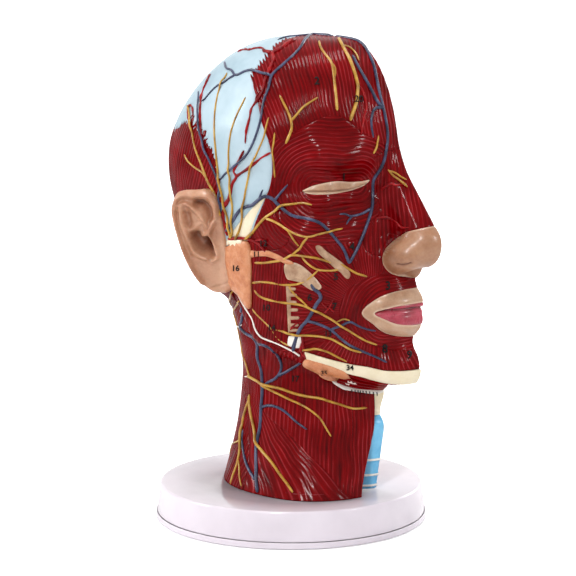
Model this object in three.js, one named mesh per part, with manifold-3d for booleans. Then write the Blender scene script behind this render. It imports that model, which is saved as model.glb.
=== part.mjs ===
// Anatomical model of the right half of a human head and neck, cut at the middle plane, on a round base.
// Millimetres, +Z up. The origin is the middle of the base's underside. The face looks along -Y and
// the ear side along -X, so the cut face looks along +X.

import * as THREE from "three";
import { mergeVertices } from "three/addons/utils/BufferGeometryUtils.js";
import Module from "manifold-3d";

const wasm = await Module();
wasm.setup();

// Sizes that all pieces follow
const seatGap = 0.3; // between pieces that touch
const overrun = 2; // how far a cut runs past what it cuts
const weld = 1e-3; // points closer than this are one
const sharpestMitreShare = 0.2;

// Base: a flat tray upside down on a bottom plate, screwed together
const baseRadius = 91;
const bottomPlateLip = 0.8; // how far the bottom plate stands out past the tray's foot
const trayTaper = 2.2; // how much narrower the tray is at its top
const trayFootRadius = baseRadius - bottomPlateLip;
const trayTopRadius = trayFootRadius - trayTaper;
const baseHeight = 24;
const trayWall = 2.5;
const trayRound = 1.4;
const bottomPlateThickness = 4.2;
const bottomPlateChamfer = 0.8;
const spigotHeight = 3;
const spigotWall = 2.2;
const screwCount = 3;
const screwInset = 29; // from the base's edge
const screwCircleRadius = baseRadius - screwInset;
const screwHeadRadius = 4;
const screwHeadHeight = 2.2;
const screwHeadRecess = 0.6;
const screwShankRadius = 1.6;
const screwLength = 13;
const bossRadius = 4.6;

// Locating pegs that the half head drops onto
const pegRadius = 5;
const pegHeight = 14;
const pegTipRound = 2;
const pegFlangeRadius = 8.5;
const pegFlangeThickness = 2.4;
const pegClearance = 0.4;
const sleeveWall = 3;
const footPlateThickness = 5;

// Half head: the tables below are shares of this length, half the head's length from brow to nape
const headSpan = 100;
const middlePlaneOffset = 22; // the cut face stands this far right of the base's middle
const skinWall = 4;
const cutFaceRecess = 6; // the section plate lies this far inside the cut face
const sectionPlateThickness = 3;
const sectionReliefGap = 0.6; // what the section pieces stay behind the cut face
const raisedRise = 1.2; // how far the glands and the fat pad stand proud of the muscles
const skinRows = 28;
const skinColumns = 34;
const hollowRows = 9;
const hollowColumns = 10;

// Throat, ear and cords
const windpipeRadius = 11.5;
const windpipeWall = 2.5;
const windpipeRingCount = 3;
const windpipeRingRise = 0.6;
const windpipeRingWidth = 1.4;
const voiceBoxRadius = 13;
const throatClearance = 0.6;
const throatHeadroom = 2; // above the voice box
const earThickness = 3;
const earRimRadius = 2.8;
const earFlareAngle = THREE.MathUtils.degToRad(30); // out from the side of the head
const earTiltAngle = THREE.MathUtils.degToRad(10); // in towards the lobe
const nerveRadius = 1.1;
const veinRadius = 1.35;
const arteryRadius = 1;
const cordStep = 9;
const cordSides = 5;
const bridgeFull = 4; // a cord is fully raised this close to one that it crosses
const bridgeEnd = 10;
const facetAllowanceShare = 0.0025; // how far the faceted skin may stand off the smooth form

// Heights measured from the neck's foot, half widths and reaches: height, front reach, back reach,
// half width, widest place, then how square the front and the back are
const skullShares = [
  [2.975, 0.1, 0.04, 0.005, 0.02, 2.2, 2], [2.968, 0.27, 0.16, 0.19, 0.03, 2.2, 2],
  [2.944, 0.415, 0.33, 0.32, 0.02, 2.2, 2], [2.88, 0.51, 0.51, 0.46, 0, 2.25, 2],
  [2.78, 0.595, 0.67, 0.575, -0.02, 2.3, 2], [2.63, 0.675, 0.84, 0.67, -0.05, 2.3, 2.05],
  [2.43, 0.735, 0.98, 0.75, -0.07, 2.2, 2.15], [2.22, 0.76, 1.05, 0.78, -0.08, 1.95, 2.25],
  [1.98, 0.76, 1.03, 0.78, -0.06, 1.85, 2.35], [1.74, 0.81, 0.93, 0.75, -0.02, 1.9, 2.35],
  [1.48, 0.88, 0.77, 0.71, 0.04, 1.9, 2.2], [1.26, 0.89, 0.66, 0.67, 0.08, 1.85, 2.1],
  [1.04, 0.87, 0.56, 0.64, 0.1, 1.75, 2.1], [0.84, 0.85, 0.46, 0.6, 0.12, 1.75, 2.1],
  [0.68, 0.8, 0.36, 0.52, 0.16, 1.75, 2.1], [0.56, 0.7, 0.2, 0.4, 0.2, 1.75, 2.1],
];
const neckShares = [
  [1.51, 0.4, 0.6, 0.58, -0.06, 2.1, 2.1], [1.26, 0.46, 0.58, 0.54, -0.04, 2.1, 2.1],
  [1.01, 0.5, 0.5, 0.5, 0, 2.1, 2.1], [0.81, 0.54, 0.46, 0.49, 0.03, 2.15, 2.1],
  [0.61, 0.58, 0.46, 0.505, 0.05, 2.2, 2.1], [0.36, 0.62, 0.49, 0.55, 0.07, 2.3, 2.1],
  [0.16, 0.66, 0.53, 0.615, 0.1, 2.45, 2.1], [0, 0.7, 0.56, 0.68, 0.12, 2.7, 2.1],
  [-0.06, 0.71, 0.57, 0.69, 0.12, 2.7, 2.1],
];

// Swellings of the face: centre and half sizes as sideways, forward and up, then how softly they blend in
const socketShares = { centre: [0.35, 0.77, 2.06], size: [0.22, 0.2, 0.16], blend: 0.12 };
const swellingShares = [
  { centre: [0.52, 0.4, 1.79], size: [0.2, 0.26, 0.15], blend: 0.16 }, // cheek bone
  { centre: [0.3, 0.55, 2.25], size: [0.27, 0.13, 0.08], blend: 0.12 }, // brow
  { centre: [0.36, 0.41, 2.05], size: [0.19, 0.16, 0.15], blend: 0.07 }, // closed eye
  { centre: [0, 0.78, 0.87], size: [0.24, 0.175, 0.16], blend: 0.08 }, // chin
  { centre: [0, 0.7, 1.26], size: [0.33, 0.24, 0.25], blend: 0.1 }, // mouth
];
const noseShares = {
  top: [0, 0.67, 2.19], tip: [0, 0.98, 1.685], topRadius: 0.095, tipRadius: 0.146, blend: 0.1,
};
const nostrilWingShares = { centre: [0.14, 0.915, 1.61], size: [0.085, 0.125, 0.09], blend: 0.05 };
const nostrilShares = { centre: [0.075, 0.985, 1.5], size: [0.04, 0.07, 0.075] };
const upperLipShares = { centre: [0, 0.83, 1.29], size: [0.27, 0.146, 0.08] };
const lowerLipShares = { centre: [0, 0.825, 1.18], size: [0.25, 0.143, 0.075] };
const lipJoinShare = 0.015;
const lipBlendShare = 0.06;
// The jaw's lower border: two slopes that meet at the jaw's angle, under a flat skull base
const jawShares = {
  chin: [0.84, 0.73], angle: [0.01, 1.03], shallow: 0.33, steep: 2, turn: 0.14, round: 0.09, skullBase: 1.26,
  baseRound: 0.1,
};
const crownRoundShare = 0.02;
const neckTopShare = 1.52;
const neckTopRoundShare = 0.1;
const neckBlendShare = 0.1;
// Rays that find the skin run level up to this height, then fan out over the crown
const fanShares = { height: 2.28, forward: -0.08, settleFrom: 0.36, settleLength: 1 };
const levelRowShare = 0.68;
const farthestSkinShare = 1.35;
const searchStepShare = 0.02;
const softStepShare = 0.005;
const sightStepShare = 0.015;

// The view that the cords' points are read from: a square picture of 576 pixels a side
const middlePixel = 288;
const lensPixels = 2399;
const viewTurnAngle = THREE.MathUtils.degToRad(45);
const viewRiseAngle = THREE.MathUtils.degToRad(9.4);
const viewShares = { distance: 16, height: 1.305, shift: -0.02, nearest: 13.8, farthest: 17.6 };

// Colours
const muscleColour = 0x7a1420;
const fleshColour = 0xc89b7d;
const boneColour = 0xefe1b9;
const whiteColour = 0xe6e0e8;

// Solids from three.js geometries, and back

function solidOf(geometry) {
  const bare = geometry.index ? geometry.toNonIndexed() : geometry.clone();
  for (const name of ["normal", "uv"]) bare.deleteAttribute(name);
  const merged = mergeVertices(bare, weld);
  const triVerts = new Uint32Array(merged.index.array);
  const vertProperties = merged.attributes.position.array;
  const made = new wasm.Manifold(new wasm.Mesh({ numProp: 3, vertProperties, triVerts }));
  if (made.volume() >= 0) return made;
  for (let i = 0; i < triVerts.length; i += 3) {
    const second = triVerts[i + 1];
    triVerts[i + 1] = triVerts[i + 2];
    triVerts[i + 2] = second;
  }
  return new wasm.Manifold(new wasm.Mesh({ numProp: 3, vertProperties, triVerts }));
}

function largest(solid) {
  return solid.decompose().reduce((a, b) => (b.volume() > a.volume() ? b : a));
}

function meshOf(name, solid, colour, roughness) {
  const { vertProperties, triVerts, numProp } = solid.getMesh();
  const places = new Float32Array((vertProperties.length / numProp) * 3);
  for (let i = 0; i < places.length / 3; i++) {
    places.set(vertProperties.subarray(i * numProp, i * numProp + 3), i * 3);
  }
  const geometry = new THREE.BufferGeometry();
  geometry.setAttribute("position", new THREE.BufferAttribute(places, 3));
  geometry.setIndex(new THREE.BufferAttribute(triVerts, 1));
  const material = new THREE.MeshStandardMaterial({ color: colour, roughness, metalness: 0 });
  const mesh = new THREE.Mesh(geometry, material);
  mesh.name = name;
  return mesh;
}

function turned(profile, segments) {
  const points = profile.map(([r, z]) => new THREE.Vector2(r, z));
  return new THREE.LatheGeometry(points, segments).rotateX(Math.PI / 2);
}

function rod(radius, from, to, segments) {
  const bar = new THREE.CylinderGeometry(radius, radius, to - from, segments).rotateX(Math.PI / 2);
  return bar.translate(0, 0, (from + to) / 2);
}

function block(low, high) {
  const size = high.map((value, i) => value - low[i]);
  const middle = high.map((value, i) => (value + low[i]) / 2);
  return new THREE.BoxGeometry(...size).translate(...middle);
}

// Outlines: hand-chosen shares [forward, up] become a smooth closed line of points

function roundLine(shares, count) {
  const points = shares.map(([a, b]) => new THREE.Vector3(a * headSpan, b * headSpan, 0));
  const line = new THREE.CatmullRomCurve3(points, true, "centripetal");
  return line.getPoints(count).slice(1).map((p) => new THREE.Vector2(p.x, p.y));
}

function straightLine(shares) {
  return shares.map(([a, b]) => new THREE.Vector2(a * headSpan, b * headSpan));
}

// An outline moved out by a distance, mitred at its corners
function grown(points, by) {
  const side = THREE.ShapeUtils.isClockWise(points) ? -1 : 1;
  const outward = (from, to) => new THREE.Vector2(to.y - from.y, from.x - to.x).normalize();
  return points.map((point, i) => {
    const before = outward(points.at(i - 1), point);
    const after = outward(point, points[(i + 1) % points.length]);
    const mitre = before.clone().add(after).divideScalar(Math.max(1 + before.dot(after), sharpestMitreShare));
    return point.clone().addScaledVector(mitre, by * side);
  });
}

// Prism over an outline in the side view, from one distance off the middle plane to another
function sidePrism(points, from, to) {
  const prism = new THREE.ExtrudeGeometry(new THREE.Shape(points), { depth: to - from, bevelEnabled: false });
  const axes = [new THREE.Vector3(0, 1, 0), new THREE.Vector3(0, 0, 1), new THREE.Vector3(1, 0, 0)];
  return solidOf(prism.applyMatrix4(new THREE.Matrix4().makeBasis(...axes)).translate(from, 0, 0));
}

// Prism over an outline in the front view, from the face's front back to a depth
function frontPrism(points, back, front) {
  const outline = new THREE.Shape(points);
  const prism = new THREE.ExtrudeGeometry(outline, { depth: front - back, bevelEnabled: false });
  return solidOf(prism.rotateX(Math.PI / 2).translate(0, front, 0));
}

// The smooth form of the half head. Places are sideways from the middle plane, forward and up from the
// neck's foot, and the value is about the distance outside the skin.

const spans = (list) => list.map((share) => share * headSpan);

function profileTable(shares) {
  const rows = shares.map((row) => [...spans(row.slice(0, -2)), ...row.slice(-2)]);
  const beyond = (end, next) => end.map((value, k) => 2 * value - next[k]);
  const all = [beyond(rows[0], rows[1]), ...rows, beyond(rows.at(-1), rows.at(-2))];
  const steps = 12;
  const table = [];
  for (let i = 1; i < all.length - 2; i++) {
    for (let step = 0; step < steps; step++) {
      const t = step / steps;
      table.push(all[i].map((_, k) => softStep(all[i - 1][k], all[i][k], all[i + 1][k], all[i + 2][k], t)));
    }
  }
  table.push(rows.at(-1));
  return table.sort((a, b) => a[0] - b[0]);
}

function softStep(a, b, c, d, t) {
  return (2 * b + (c - a) * t + (2 * a - 5 * b + 4 * c - d) * t * t + (3 * b - a - 3 * c + d) * t ** 3) / 2;
}

function rowAt(table, height) {
  if (height <= table[0][0]) return table[0];
  if (height >= table.at(-1)[0]) return table.at(-1);
  let low = 0;
  let high = table.length - 1;
  while (high - low > 1) {
    const middle = (low + high) >> 1;
    if (table[middle][0] <= height) low = middle;
    else high = middle;
  }
  const t = (height - table[low][0]) / (table[high][0] - table[low][0] || 1);
  return table[low].map((value, k) => value + (table[high][k] - value) * t);
}

const skullTable = profileTable(skullShares);
const neckTable = profileTable(neckShares);
const thinnest = softStepShare * headSpan;

function lofted(table, [w, f, z]) {
  const [, frontReach, backReach, halfWidth, widest, frontPower, backPower] = rowAt(table, z);
  const forward = f > widest;
  const reach = Math.max(forward ? frontReach - widest : backReach + widest, thinnest);
  const width = Math.max(halfWidth, thinnest);
  const power = forward ? frontPower : backPower;
  const ratio = (Math.abs((f - widest) / reach) ** power + Math.abs(w / width) ** power) ** (1 / power);
  return (ratio - 1) * Math.min(reach, width);
}

function softMin(a, b, blend) {
  const h = Math.max(blend - Math.abs(a - b), 0) / blend;
  return Math.min(a, b) - (h * h * blend) / 4;
}

const softMax = (a, b, blend) => -softMin(-a, -b, blend);

function eggDistance(place, { centre, size }) {
  const along = place.map((value, k) => (value - centre[k] * headSpan) / (size[k] * headSpan));
  const near = Math.hypot(...along);
  const steep = Math.hypot(...along.map((value, k) => value / (size[k] * headSpan)));
  return (near * (near - 1)) / (steep || 1 / headSpan);
}

function noseDistance(place) {
  const top = spans(noseShares.top);
  const axis = spans(noseShares.tip).map((value, k) => value - top[k]);
  const off = place.map((value, k) => value - top[k]);
  const dot = (a, b) => a.reduce((sum, value, k) => sum + value * b[k], 0);
  const t = THREE.MathUtils.clamp(dot(off, axis) / dot(axis, axis), 0, 1);
  const radius = THREE.MathUtils.lerp(noseShares.topRadius, noseShares.tipRadius, t) * headSpan;
  return Math.hypot(...off.map((value, k) => value - axis[k] * t)) - radius;
}

function jawCut([, f, z]) {
  const [chinForward, chinHeight] = spans(jawShares.chin);
  const [angleForward, angleHeight] = spans(jawShares.angle);
  const shallow = chinHeight + (chinForward - f) * jawShares.shallow;
  const steep = angleHeight + (angleForward - f) * jawShares.steep;
  const base = jawShares.skullBase * headSpan;
  const turn = softMax(shallow, steep, jawShares.turn * headSpan);
  const border = softMin(turn, base, jawShares.baseRound * headSpan);
  const slope = steep > base ? 0 : steep > shallow ? jawShares.steep : jawShares.shallow;
  return (border - z) / Math.hypot(1, slope);
}

function headForm(place) {
  const [w, f, z] = [Math.abs(place[0]), place[1], place[2]];
  const here = [w, f, z];
  let d = lofted(skullTable, here);
  d = softMax(d, z - skullShares[0][0] * headSpan, crownRoundShare * headSpan);
  d = softMax(d, -eggDistance(here, socketShares), socketShares.blend * headSpan);
  for (const swelling of swellingShares) {
    d = softMin(d, eggDistance(here, swelling), swelling.blend * headSpan);
  }
  d = softMin(d, noseDistance(here), noseShares.blend * headSpan);
  d = softMin(d, eggDistance(here, nostrilWingShares), nostrilWingShares.blend * headSpan);
  const upper = eggDistance(here, upperLipShares);
  const lips = softMin(upper, eggDistance(here, lowerLipShares), lipJoinShare * headSpan);
  d = softMin(d, lips, lipBlendShare * headSpan);
  d = softMax(d, jawCut(here), jawShares.round * headSpan);
  const neck = softMax(lofted(neckTable, here), z - neckTopShare * headSpan, neckTopRoundShare * headSpan);
  return softMin(d, neck, neckBlendShare * headSpan);
}

// The skin as rows from the neck's foot to the crown and columns from the front round to the back

function skinRay(rowShare, columnShare) {
  const level = Math.min(rowShare / levelRowShare, 1);
  const fan = (Math.max(rowShare - levelRowShare, 0) / (1 - levelRowShare)) * (Math.PI / 2);
  const round = columnShare * Math.PI;
  const height = level * fanShares.height * headSpan;
  const settle = (height / headSpan - fanShares.settleFrom) / fanShares.settleLength;
  const forward = fanShares.forward * headSpan * THREE.MathUtils.clamp(settle, 0, 1);
  const way = [Math.sin(round) * Math.cos(fan), Math.cos(round) * Math.cos(fan), Math.sin(fan)];
  return { from: [0, forward, height], way };
}

const alongRay = ({ from, way }, far) => from.map((value, k) => value + way[k] * far);

function skinDistance(ray) {
  let far = farthestSkinShare * headSpan;
  while (far > 0 && headForm(alongRay(ray, far)) > 0) far -= searchStepShare * headSpan;
  let near = far;
  far += searchStepShare * headSpan;
  for (let halving = 0; halving < 12; halving++) {
    const middle = (near + far) / 2;
    if (headForm(alongRay(ray, middle)) > 0) far = middle;
    else near = middle;
  }
  return near;
}

const rayOf = (row, column, rows, columns) => skinRay(row / (rows - 1), column / (columns - 1));

function skinGrid(rows, columns, rise) {
  return Array.from({ length: rows }, (_, row) =>
    Array.from({ length: columns }, (__, column) => {
      const ray = rayOf(row, column, rows, columns);
      return alongRay(ray, skinDistance(ray) + rise);
    }),
  );
}

// The hollow's grid keeps its distance from the nearest skin around each of its points
const aroundShares = [-0.9, -0.45, 0, 0.45, 0.9];

function hollowGrid(rows, columns, inset) {
  const clamp = THREE.MathUtils.clamp;
  return Array.from({ length: rows }, (_, row) =>
    Array.from({ length: columns }, (__, column) => {
      const near = [];
      for (const down of aroundShares) {
        const nearRow = clamp(row + down, 0, rows - 1);
        for (const aside of aroundShares) {
          near.push(rayOf(nearRow, clamp(column + aside, 0, columns - 1), rows, columns));
        }
      }
      return alongRay(rayOf(row, column, rows, columns), Math.min(...near.map(skinDistance)) - inset);
    }),
  );
}

// A grid closed by the middle plane and the foot; opened by a margin past both where it cuts a hollow
function gridSolid(grid, margin) {
  const columns = grid[0].length;
  const places = [];
  grid.slice(0, -1).forEach((row, i) =>
    row.forEach(([w, f, z], j) => {
      const edge = j === 0 || j === columns - 1;
      places.push(edge ? -margin : w, f, i === 0 ? z - margin : z);
    }),
  );
  const pole = grid.at(-1)[0];
  places.push(-margin, pole[1], pole[2]);
  const top = grid.length - 2;
  const at = (i, j) => i * columns + j;
  const faces = [];
  for (let i = 0; i < top; i++) {
    for (let j = 0; j < columns - 1; j++) {
      faces.push(at(i, j), at(i, j + 1), at(i + 1, j + 1), at(i, j), at(i + 1, j + 1), at(i + 1, j));
    }
    const last = columns - 1;
    faces.push(at(i, last), at(i, 0), at(i + 1, 0), at(i, last), at(i + 1, 0), at(i + 1, last));
  }
  for (let j = 0; j < columns - 1; j++) faces.push(at(top, j), at(top, j + 1), at(top + 1, 0));
  faces.push(at(top, columns - 1), at(top, 0), at(top + 1, 0));
  for (let j = 1; j < columns - 1; j++) faces.push(at(0, 0), at(0, j + 1), at(0, j));
  const geometry = new THREE.BufferGeometry();
  geometry.setAttribute("position", new THREE.BufferAttribute(new Float32Array(places), 3));
  geometry.setIndex(faces);
  return solidOf(geometry);
}

// Base

const trayFoot = bottomPlateThickness + seatGap;
const trayCeiling = baseHeight - trayWall;
const spigotTop = bottomPlateThickness + spigotHeight;
const spigotRise = (spigotTop - trayFoot) / (trayCeiling - trayFoot);
const spigotRadius = THREE.MathUtils.lerp(trayFootRadius, trayTopRadius, spigotRise) - trayWall - seatGap;

function screwPlaces() {
  return Array.from({ length: screwCount }, (_, i) => {
    const turn = ((i + 0.5) / screwCount) * 2 * Math.PI;
    return [Math.cos(turn) * screwCircleRadius, Math.sin(turn) * screwCircleRadius];
  });
}

function screwForm(clearance, head) {
  const shank = screwShankRadius + clearance;
  const wide = screwHeadRadius + clearance;
  const neck = screwHeadRecess + screwHeadHeight;
  const tip = screwHeadRecess + screwLength + clearance;
  return turned([[0, head], [wide, head], [wide, screwHeadRecess], [shank, neck], [shank, tip], [0, tip]], 12);
}

function baseTray() {
  const inner = trayTopRadius - trayWall;
  const profile = [
    [0, trayCeiling], [inner, trayCeiling], [trayFootRadius - trayWall, trayFoot], [trayFootRadius, trayFoot],
    [trayTopRadius, baseHeight - trayRound], [trayTopRadius - trayRound, baseHeight], [0, baseHeight],
  ];
  let tray = solidOf(turned(profile, 44));
  for (const [x, y] of screwPlaces()) {
    const boss = rod(bossRadius, trayFoot, trayCeiling + trayWall / 2, 12).translate(x, y, 0);
    tray = tray.add(solidOf(boss)).subtract(solidOf(screwForm(seatGap, -overrun).translate(x, y, 0)));
  }
  for (const [x, y] of pegPlaces()) {
    const hole = rod(pegRadius + seatGap, trayCeiling - overrun, baseHeight + overrun, 16).translate(x, y, 0);
    tray = tray.subtract(solidOf(hole));
  }
  return tray;
}

function basePlate() {
  const top = bottomPlateThickness;
  const profile = [
    [0, 0], [baseRadius - bottomPlateChamfer, 0], [baseRadius, bottomPlateChamfer], [baseRadius, top],
    [spigotRadius, top], [spigotRadius, spigotTop], [spigotRadius - spigotWall, spigotTop],
    [spigotRadius - spigotWall, top], [0, top],
  ];
  let plate = solidOf(turned(profile, 44));
  for (const [x, y] of screwPlaces()) {
    plate = plate.subtract(solidOf(screwForm(seatGap, -overrun).translate(x, y, 0)));
  }
  return plate;
}

// Pegs stand in front of and behind the middle of the neck's foot
const pegSideShare = 0.3;
const pegForwardShares = [0.3, -0.18];

function pegPlaces() {
  return pegForwardShares.map((share) => [middlePlaneOffset - pegSideShare * headSpan, -share * headSpan]);
}

function pegForm() {
  const under = trayCeiling - seatGap;
  const tip = baseHeight + pegHeight;
  return turned([
    [0, under - pegFlangeThickness], [pegFlangeRadius, under - pegFlangeThickness], [pegFlangeRadius, under],
    [pegRadius, under], [pegRadius, tip - pegTipRound], [pegRadius - pegTipRound, tip], [0, tip],
  ], 16);
}

// Skin, in panels cut along the muscles' borders

const outerSkin = gridSolid(skinGrid(skinRows, skinColumns, 0), 0);
const raisedSkin = gridSolid(skinGrid(skinRows, skinColumns, raisedRise), 0);
const farSide = farthestSkinShare * headSpan;
const crownHeight = skullShares[0][0] * headSpan;
const sectionFloor = cutFaceRecess + sectionPlateThickness;
const belowFoot = -overrun - seatGap;
const behindSection = solidOf(block([sectionFloor, -farSide, belowFoot], [farSide, farSide, crownHeight]));
const hollow = gridSolid(hollowGrid(hollowRows, hollowColumns, skinWall), overrun).intersect(behindSection);
const fitHollow = gridSolid(hollowGrid(hollowRows, hollowColumns, skinWall + seatGap), overrun);

// The room that the cut face is sunk by, inside a rim of skin; the section plate and its pieces lie in it
const sectionRoomShares = [
  [0.64, -0.1], [0.6, 0.2], [0.55, 0.45], [0.52, 0.62], [0.57, 0.72], [0.74, 0.765], [0.84, 0.8], [0.875, 0.87],
  [0.865, 0.98], [0.86, 1.06], [0.895, 1.17], [0.9, 1.25], [0.9, 1.32], [0.865, 1.4], [0.88, 1.49], [0.95, 1.55],
  [1.03, 1.61], [1.055, 1.68], [1.02, 1.76], [0.92, 1.87], [0.83, 1.99], [0.755, 2.11], [0.725, 2.21],
  [0.71, 2.33], [0.68, 2.45], [0.635, 2.58], [0.58, 2.7], [0.505, 2.81], [0.39, 2.885], [0.2, 2.92],
  [0.05, 2.92], [-0.16, 2.905], [-0.32, 2.87], [-0.48, 2.805], [-0.64, 2.7], [-0.8, 2.55], [-0.925, 2.37],
  [-0.99, 2.2], [-0.975, 1.97], [-0.87, 1.73], [-0.72, 1.49], [-0.6, 1.26], [-0.52, 1.1], [-0.44, 0.85],
  [-0.41, 0.65], [-0.425, 0.45], [-0.46, 0.2], [-0.5, -0.1],
];
const sectionRoomLine = straightLine(sectionRoomShares);
const fitRoomLine = grown(sectionRoomLine, -seatGap);

// Each panel: its name, its outline's shares (forward, up) in the side view, and its colour; a raised
// one stands proud. A panel takes only what those before it left, so outlines may run past a neighbour.
const panelShares = [
  { name: "temple_bone", colour: boneColour, straight: true,
    outline: [[0.27, 2.01], [0.12, 1.69], [-0.08, 1.67], [0.1, 1.84]] },
  { name: "parotid_gland", raised: true, colour: 0xdf9060,
    outline: [[-0.03, 1.65], [0.12, 1.68], [0.13, 1.54], [0.11, 1.4], [0.07, 1.23], [-0.03, 1.31], [-0.1, 1.36],
      [-0.11, 1.5], [-0.09, 1.61]] },
  { name: "buccal_fat_pad", colour: 0xcdaa8c,
    outline: [[0.37, 1.55], [0.44, 1.57], [0.5, 1.53], [0.58, 1.41], [0.53, 1.39], [0.45, 1.44], [0.38, 1.46]] },
  { name: "submandibular_gland", raised: true, colour: 0xdf9060,
    outline: [[0.38, 0.94], [0.48, 0.925], [0.58, 0.875], [0.66, 0.84], [0.62, 0.785], [0.49, 0.755], [0.4, 0.77],
      [0.35, 0.85]] },
  { name: "mandible_edge", raised: true, colour: boneColour, straight: true,
    outline: [[0.42, 0.985], [0.56, 0.94], [0.7, 0.895], [0.85, 0.865], [1.3, 0.84], [1.3, 0.765], [0.9, 0.775],
      [0.75, 0.81], [0.62, 0.86], [0.44, 0.925]] },
  { name: "lips", raised: true, colour: 0xd8607e,
    outline: [[0.83, 1.245], [0.93, 1.3], [1.02, 1.33], [1.3, 1.32], [1.3, 1.13], [1, 1.13], [0.9, 1.18]] },
  { name: "lip_surround", colour: fleshColour,
    outline: [[0.77, 1.245], [0.83, 1.33], [0.92, 1.39], [1.3, 1.41], [1.3, 1.07], [0.9, 1.07], [0.82, 1.17]] },
  { name: "nose_tip", colour: fleshColour,
    outline: [[0.78, 1.68], [0.88, 1.76], [1.04, 1.8], [1.3, 1.83], [1.3, 1.42], [0.96, 1.455], [0.85, 1.49],
      [0.79, 1.58]] },
  { name: "nose_muscle", colour: muscleColour,
    outline: [[0.755, 2.27], [0.72, 2.14], [0.7, 2.02], [0.75, 1.88], [0.73, 1.76], [0.78, 1.62], [1.3, 1.62],
      [1.3, 2.3]] },
  { name: "eye_ring_muscle", colour: muscleColour,
    outline: [[0.6, 2.51], [0.7, 2.4], [0.76, 2.27], [0.8, 2.1], [0.8, 1.9], [0.74, 1.74], [0.65, 1.69],
      [0.52, 1.73], [0.43, 1.81], [0.34, 1.95], [0.3, 2.1], [0.35, 2.29], [0.46, 2.43]] },
  { name: "mouth_ring_muscle", colour: muscleColour,
    outline: [[0.92, 1.5], [0.8, 1.48], [0.71, 1.4], [0.66, 1.25], [0.69, 1.09], [0.8, 1.01], [1, 0.98],
      [1.3, 0.98], [1.3, 1.5]] },
  { name: "masseter_muscle", colour: muscleColour,
    outline: [[0.02, 1.72], [0.2, 1.68], [0.37, 1.56], [0.38, 1.32], [0.35, 1.1], [0.33, 0.985], [0.2, 1.02],
      [0.1, 1.1], [0.04, 1.2], [0.02, 1.4]] },
  { name: "occipital_muscle", colour: muscleColour,
    outline: [[-0.1, 1.76], [-0.11, 1.95], [-0.12, 2.12], [-0.19, 2.24], [-0.3, 2.34], [-0.46, 2.41],
      [-0.66, 2.35], [-0.9, 2.27], [-1.3, 2.22], [-1.3, 1.72], [-0.6, 1.7], [-0.3, 1.69]] },
  { name: "scalp_aponeurosis", colour: 0xbfdae4,
    outline: [[-0.15, 3.3], [0.02, 2.94], [0.07, 2.84], [0.04, 2.77], [0.07, 2.69], [0.15, 2.59], [0.22, 2.46],
      [0.28, 2.34], [0.3, 2.18], [0.27, 2.01], [0.1, 1.66], [-0.05, 1.6], [-0.3, 1.9], [-1.3, 1.9], [-1.4, 3.2]] },
  { name: "temporal_muscle", colour: muscleColour,
    outline: [[0.1, 1.68], [0.22, 1.86], [0.25, 2.05], [0.24, 2.3], [0.3, 2.36], [0.4, 2.34], [0.5, 2.3],
      [0.5, 1.9], [0.46, 1.72], [0.3, 1.64]] },
  { name: "frontal_muscle", colour: muscleColour,
    outline: [[-0.3, 3.4], [-0.2, 2.6], [0.1, 2.3], [0.5, 2.2], [1.3, 2.2], [1.2, 3.3]] },
  { name: "chin_muscle", colour: muscleColour,
    outline: [[0.36, 0.95], [0.46, 1.02], [0.58, 1.06], [0.72, 1.1], [1.3, 1.1], [1.3, 0.8], [0.7, 0.84]] },
  { name: "cheek_muscles", colour: muscleColour,
    outline: [[0, 1.74], [0.3, 1.9], [0.6, 2], [0.9, 1.8], [0.95, 1.4], [0.8, 1.05], [0.5, 0.97], [0.28, 0.97],
      [0.1, 1.1]] },
  { name: "throat_muscles", colour: muscleColour,
    outline: [[0.02, 1.3], [-0.03, 0.9], [0.02, 0.55], [0.3, 0.38], [0.52, 0.2], [0.74, -0.05], [1.2, -0.1],
      [1.3, 1.3], [0.6, 1.4]] },
  { name: "neck_side_muscle", colour: muscleColour,
    outline: [[-0.55, 1.5], [-0.38, 1.1], [-0.2, 0.6], [-0.02, 0.2], [0.05, -0.1], [0.9, -0.1], [0.9, 0.3],
      [0.3, 1.2], [0.1, 1.8]] },
];

const eyelidShares = [[0.6, 2.02], [0.5, 2.08], [0.38, 2.1], [0.24, 2.09], [0.14, 2.075], [0.22, 2.02],
  [0.38, 1.995], [0.5, 1.995]];
const eyeDepthShares = { back: 0.2, front: 0.9 };
// Windpipe and voice box: the pipe leans back towards the foot
const windpipeShares = { top: 0.42, footForward: 0.455, lean: 0.17 };
const voiceBoxShares = { bottom: 0.423, top: 0.69, forward: 0.505 };
const throatFrontShare = 0.9;

function skinPanels() {
  const room = sidePrism(sectionRoomLine, -overrun, sectionFloor + seatGap);
  const openings = hollow.add(room).add(throatRoom(0)).add(solidOf(eggGeometry(nostrilShares)));
  const keep = (skin) => skin.subtract(openings);
  let rest = keep(outerSkin);
  const eyeBack = eyeDepthShares.back * headSpan;
  const eyeFront = eyeDepthShares.front * headSpan;
  const eye = roundLine(eyelidShares, 24);
  const panels = [meshOf("eyelids", rest.intersect(frontPrism(eye, eyeBack, eyeFront)), fleshColour, 0.45)];
  rest = rest.subtract(frontPrism(grown(eye, seatGap), eyeBack, eyeFront));
  let raisedRest = keep(raisedSkin);
  for (const { name, raised: proud, colour, straight, outline } of panelShares) {
    const line = straight ? straightLine(outline) : roundLine(outline, outline.length * 2);
    const panel = (proud ? raisedRest : rest).intersect(sidePrism(line, -overrun, farSide));
    panels.push(meshOf(name, largest(panel), colour, 0.35));
    const taken = sidePrism(grown(line, seatGap), -overrun, farSide);
    rest = rest.subtract(taken);
    raisedRest = raisedRest.subtract(taken);
  }
  panels.push(meshOf("nape_muscle", largest(rest), muscleColour, 0.35));
  return panels;
}

function eggGeometry({ centre, size }) {
  return new THREE.SphereGeometry(headSpan, 12, 8).scale(...size).translate(...spans(centre));
}

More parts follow.
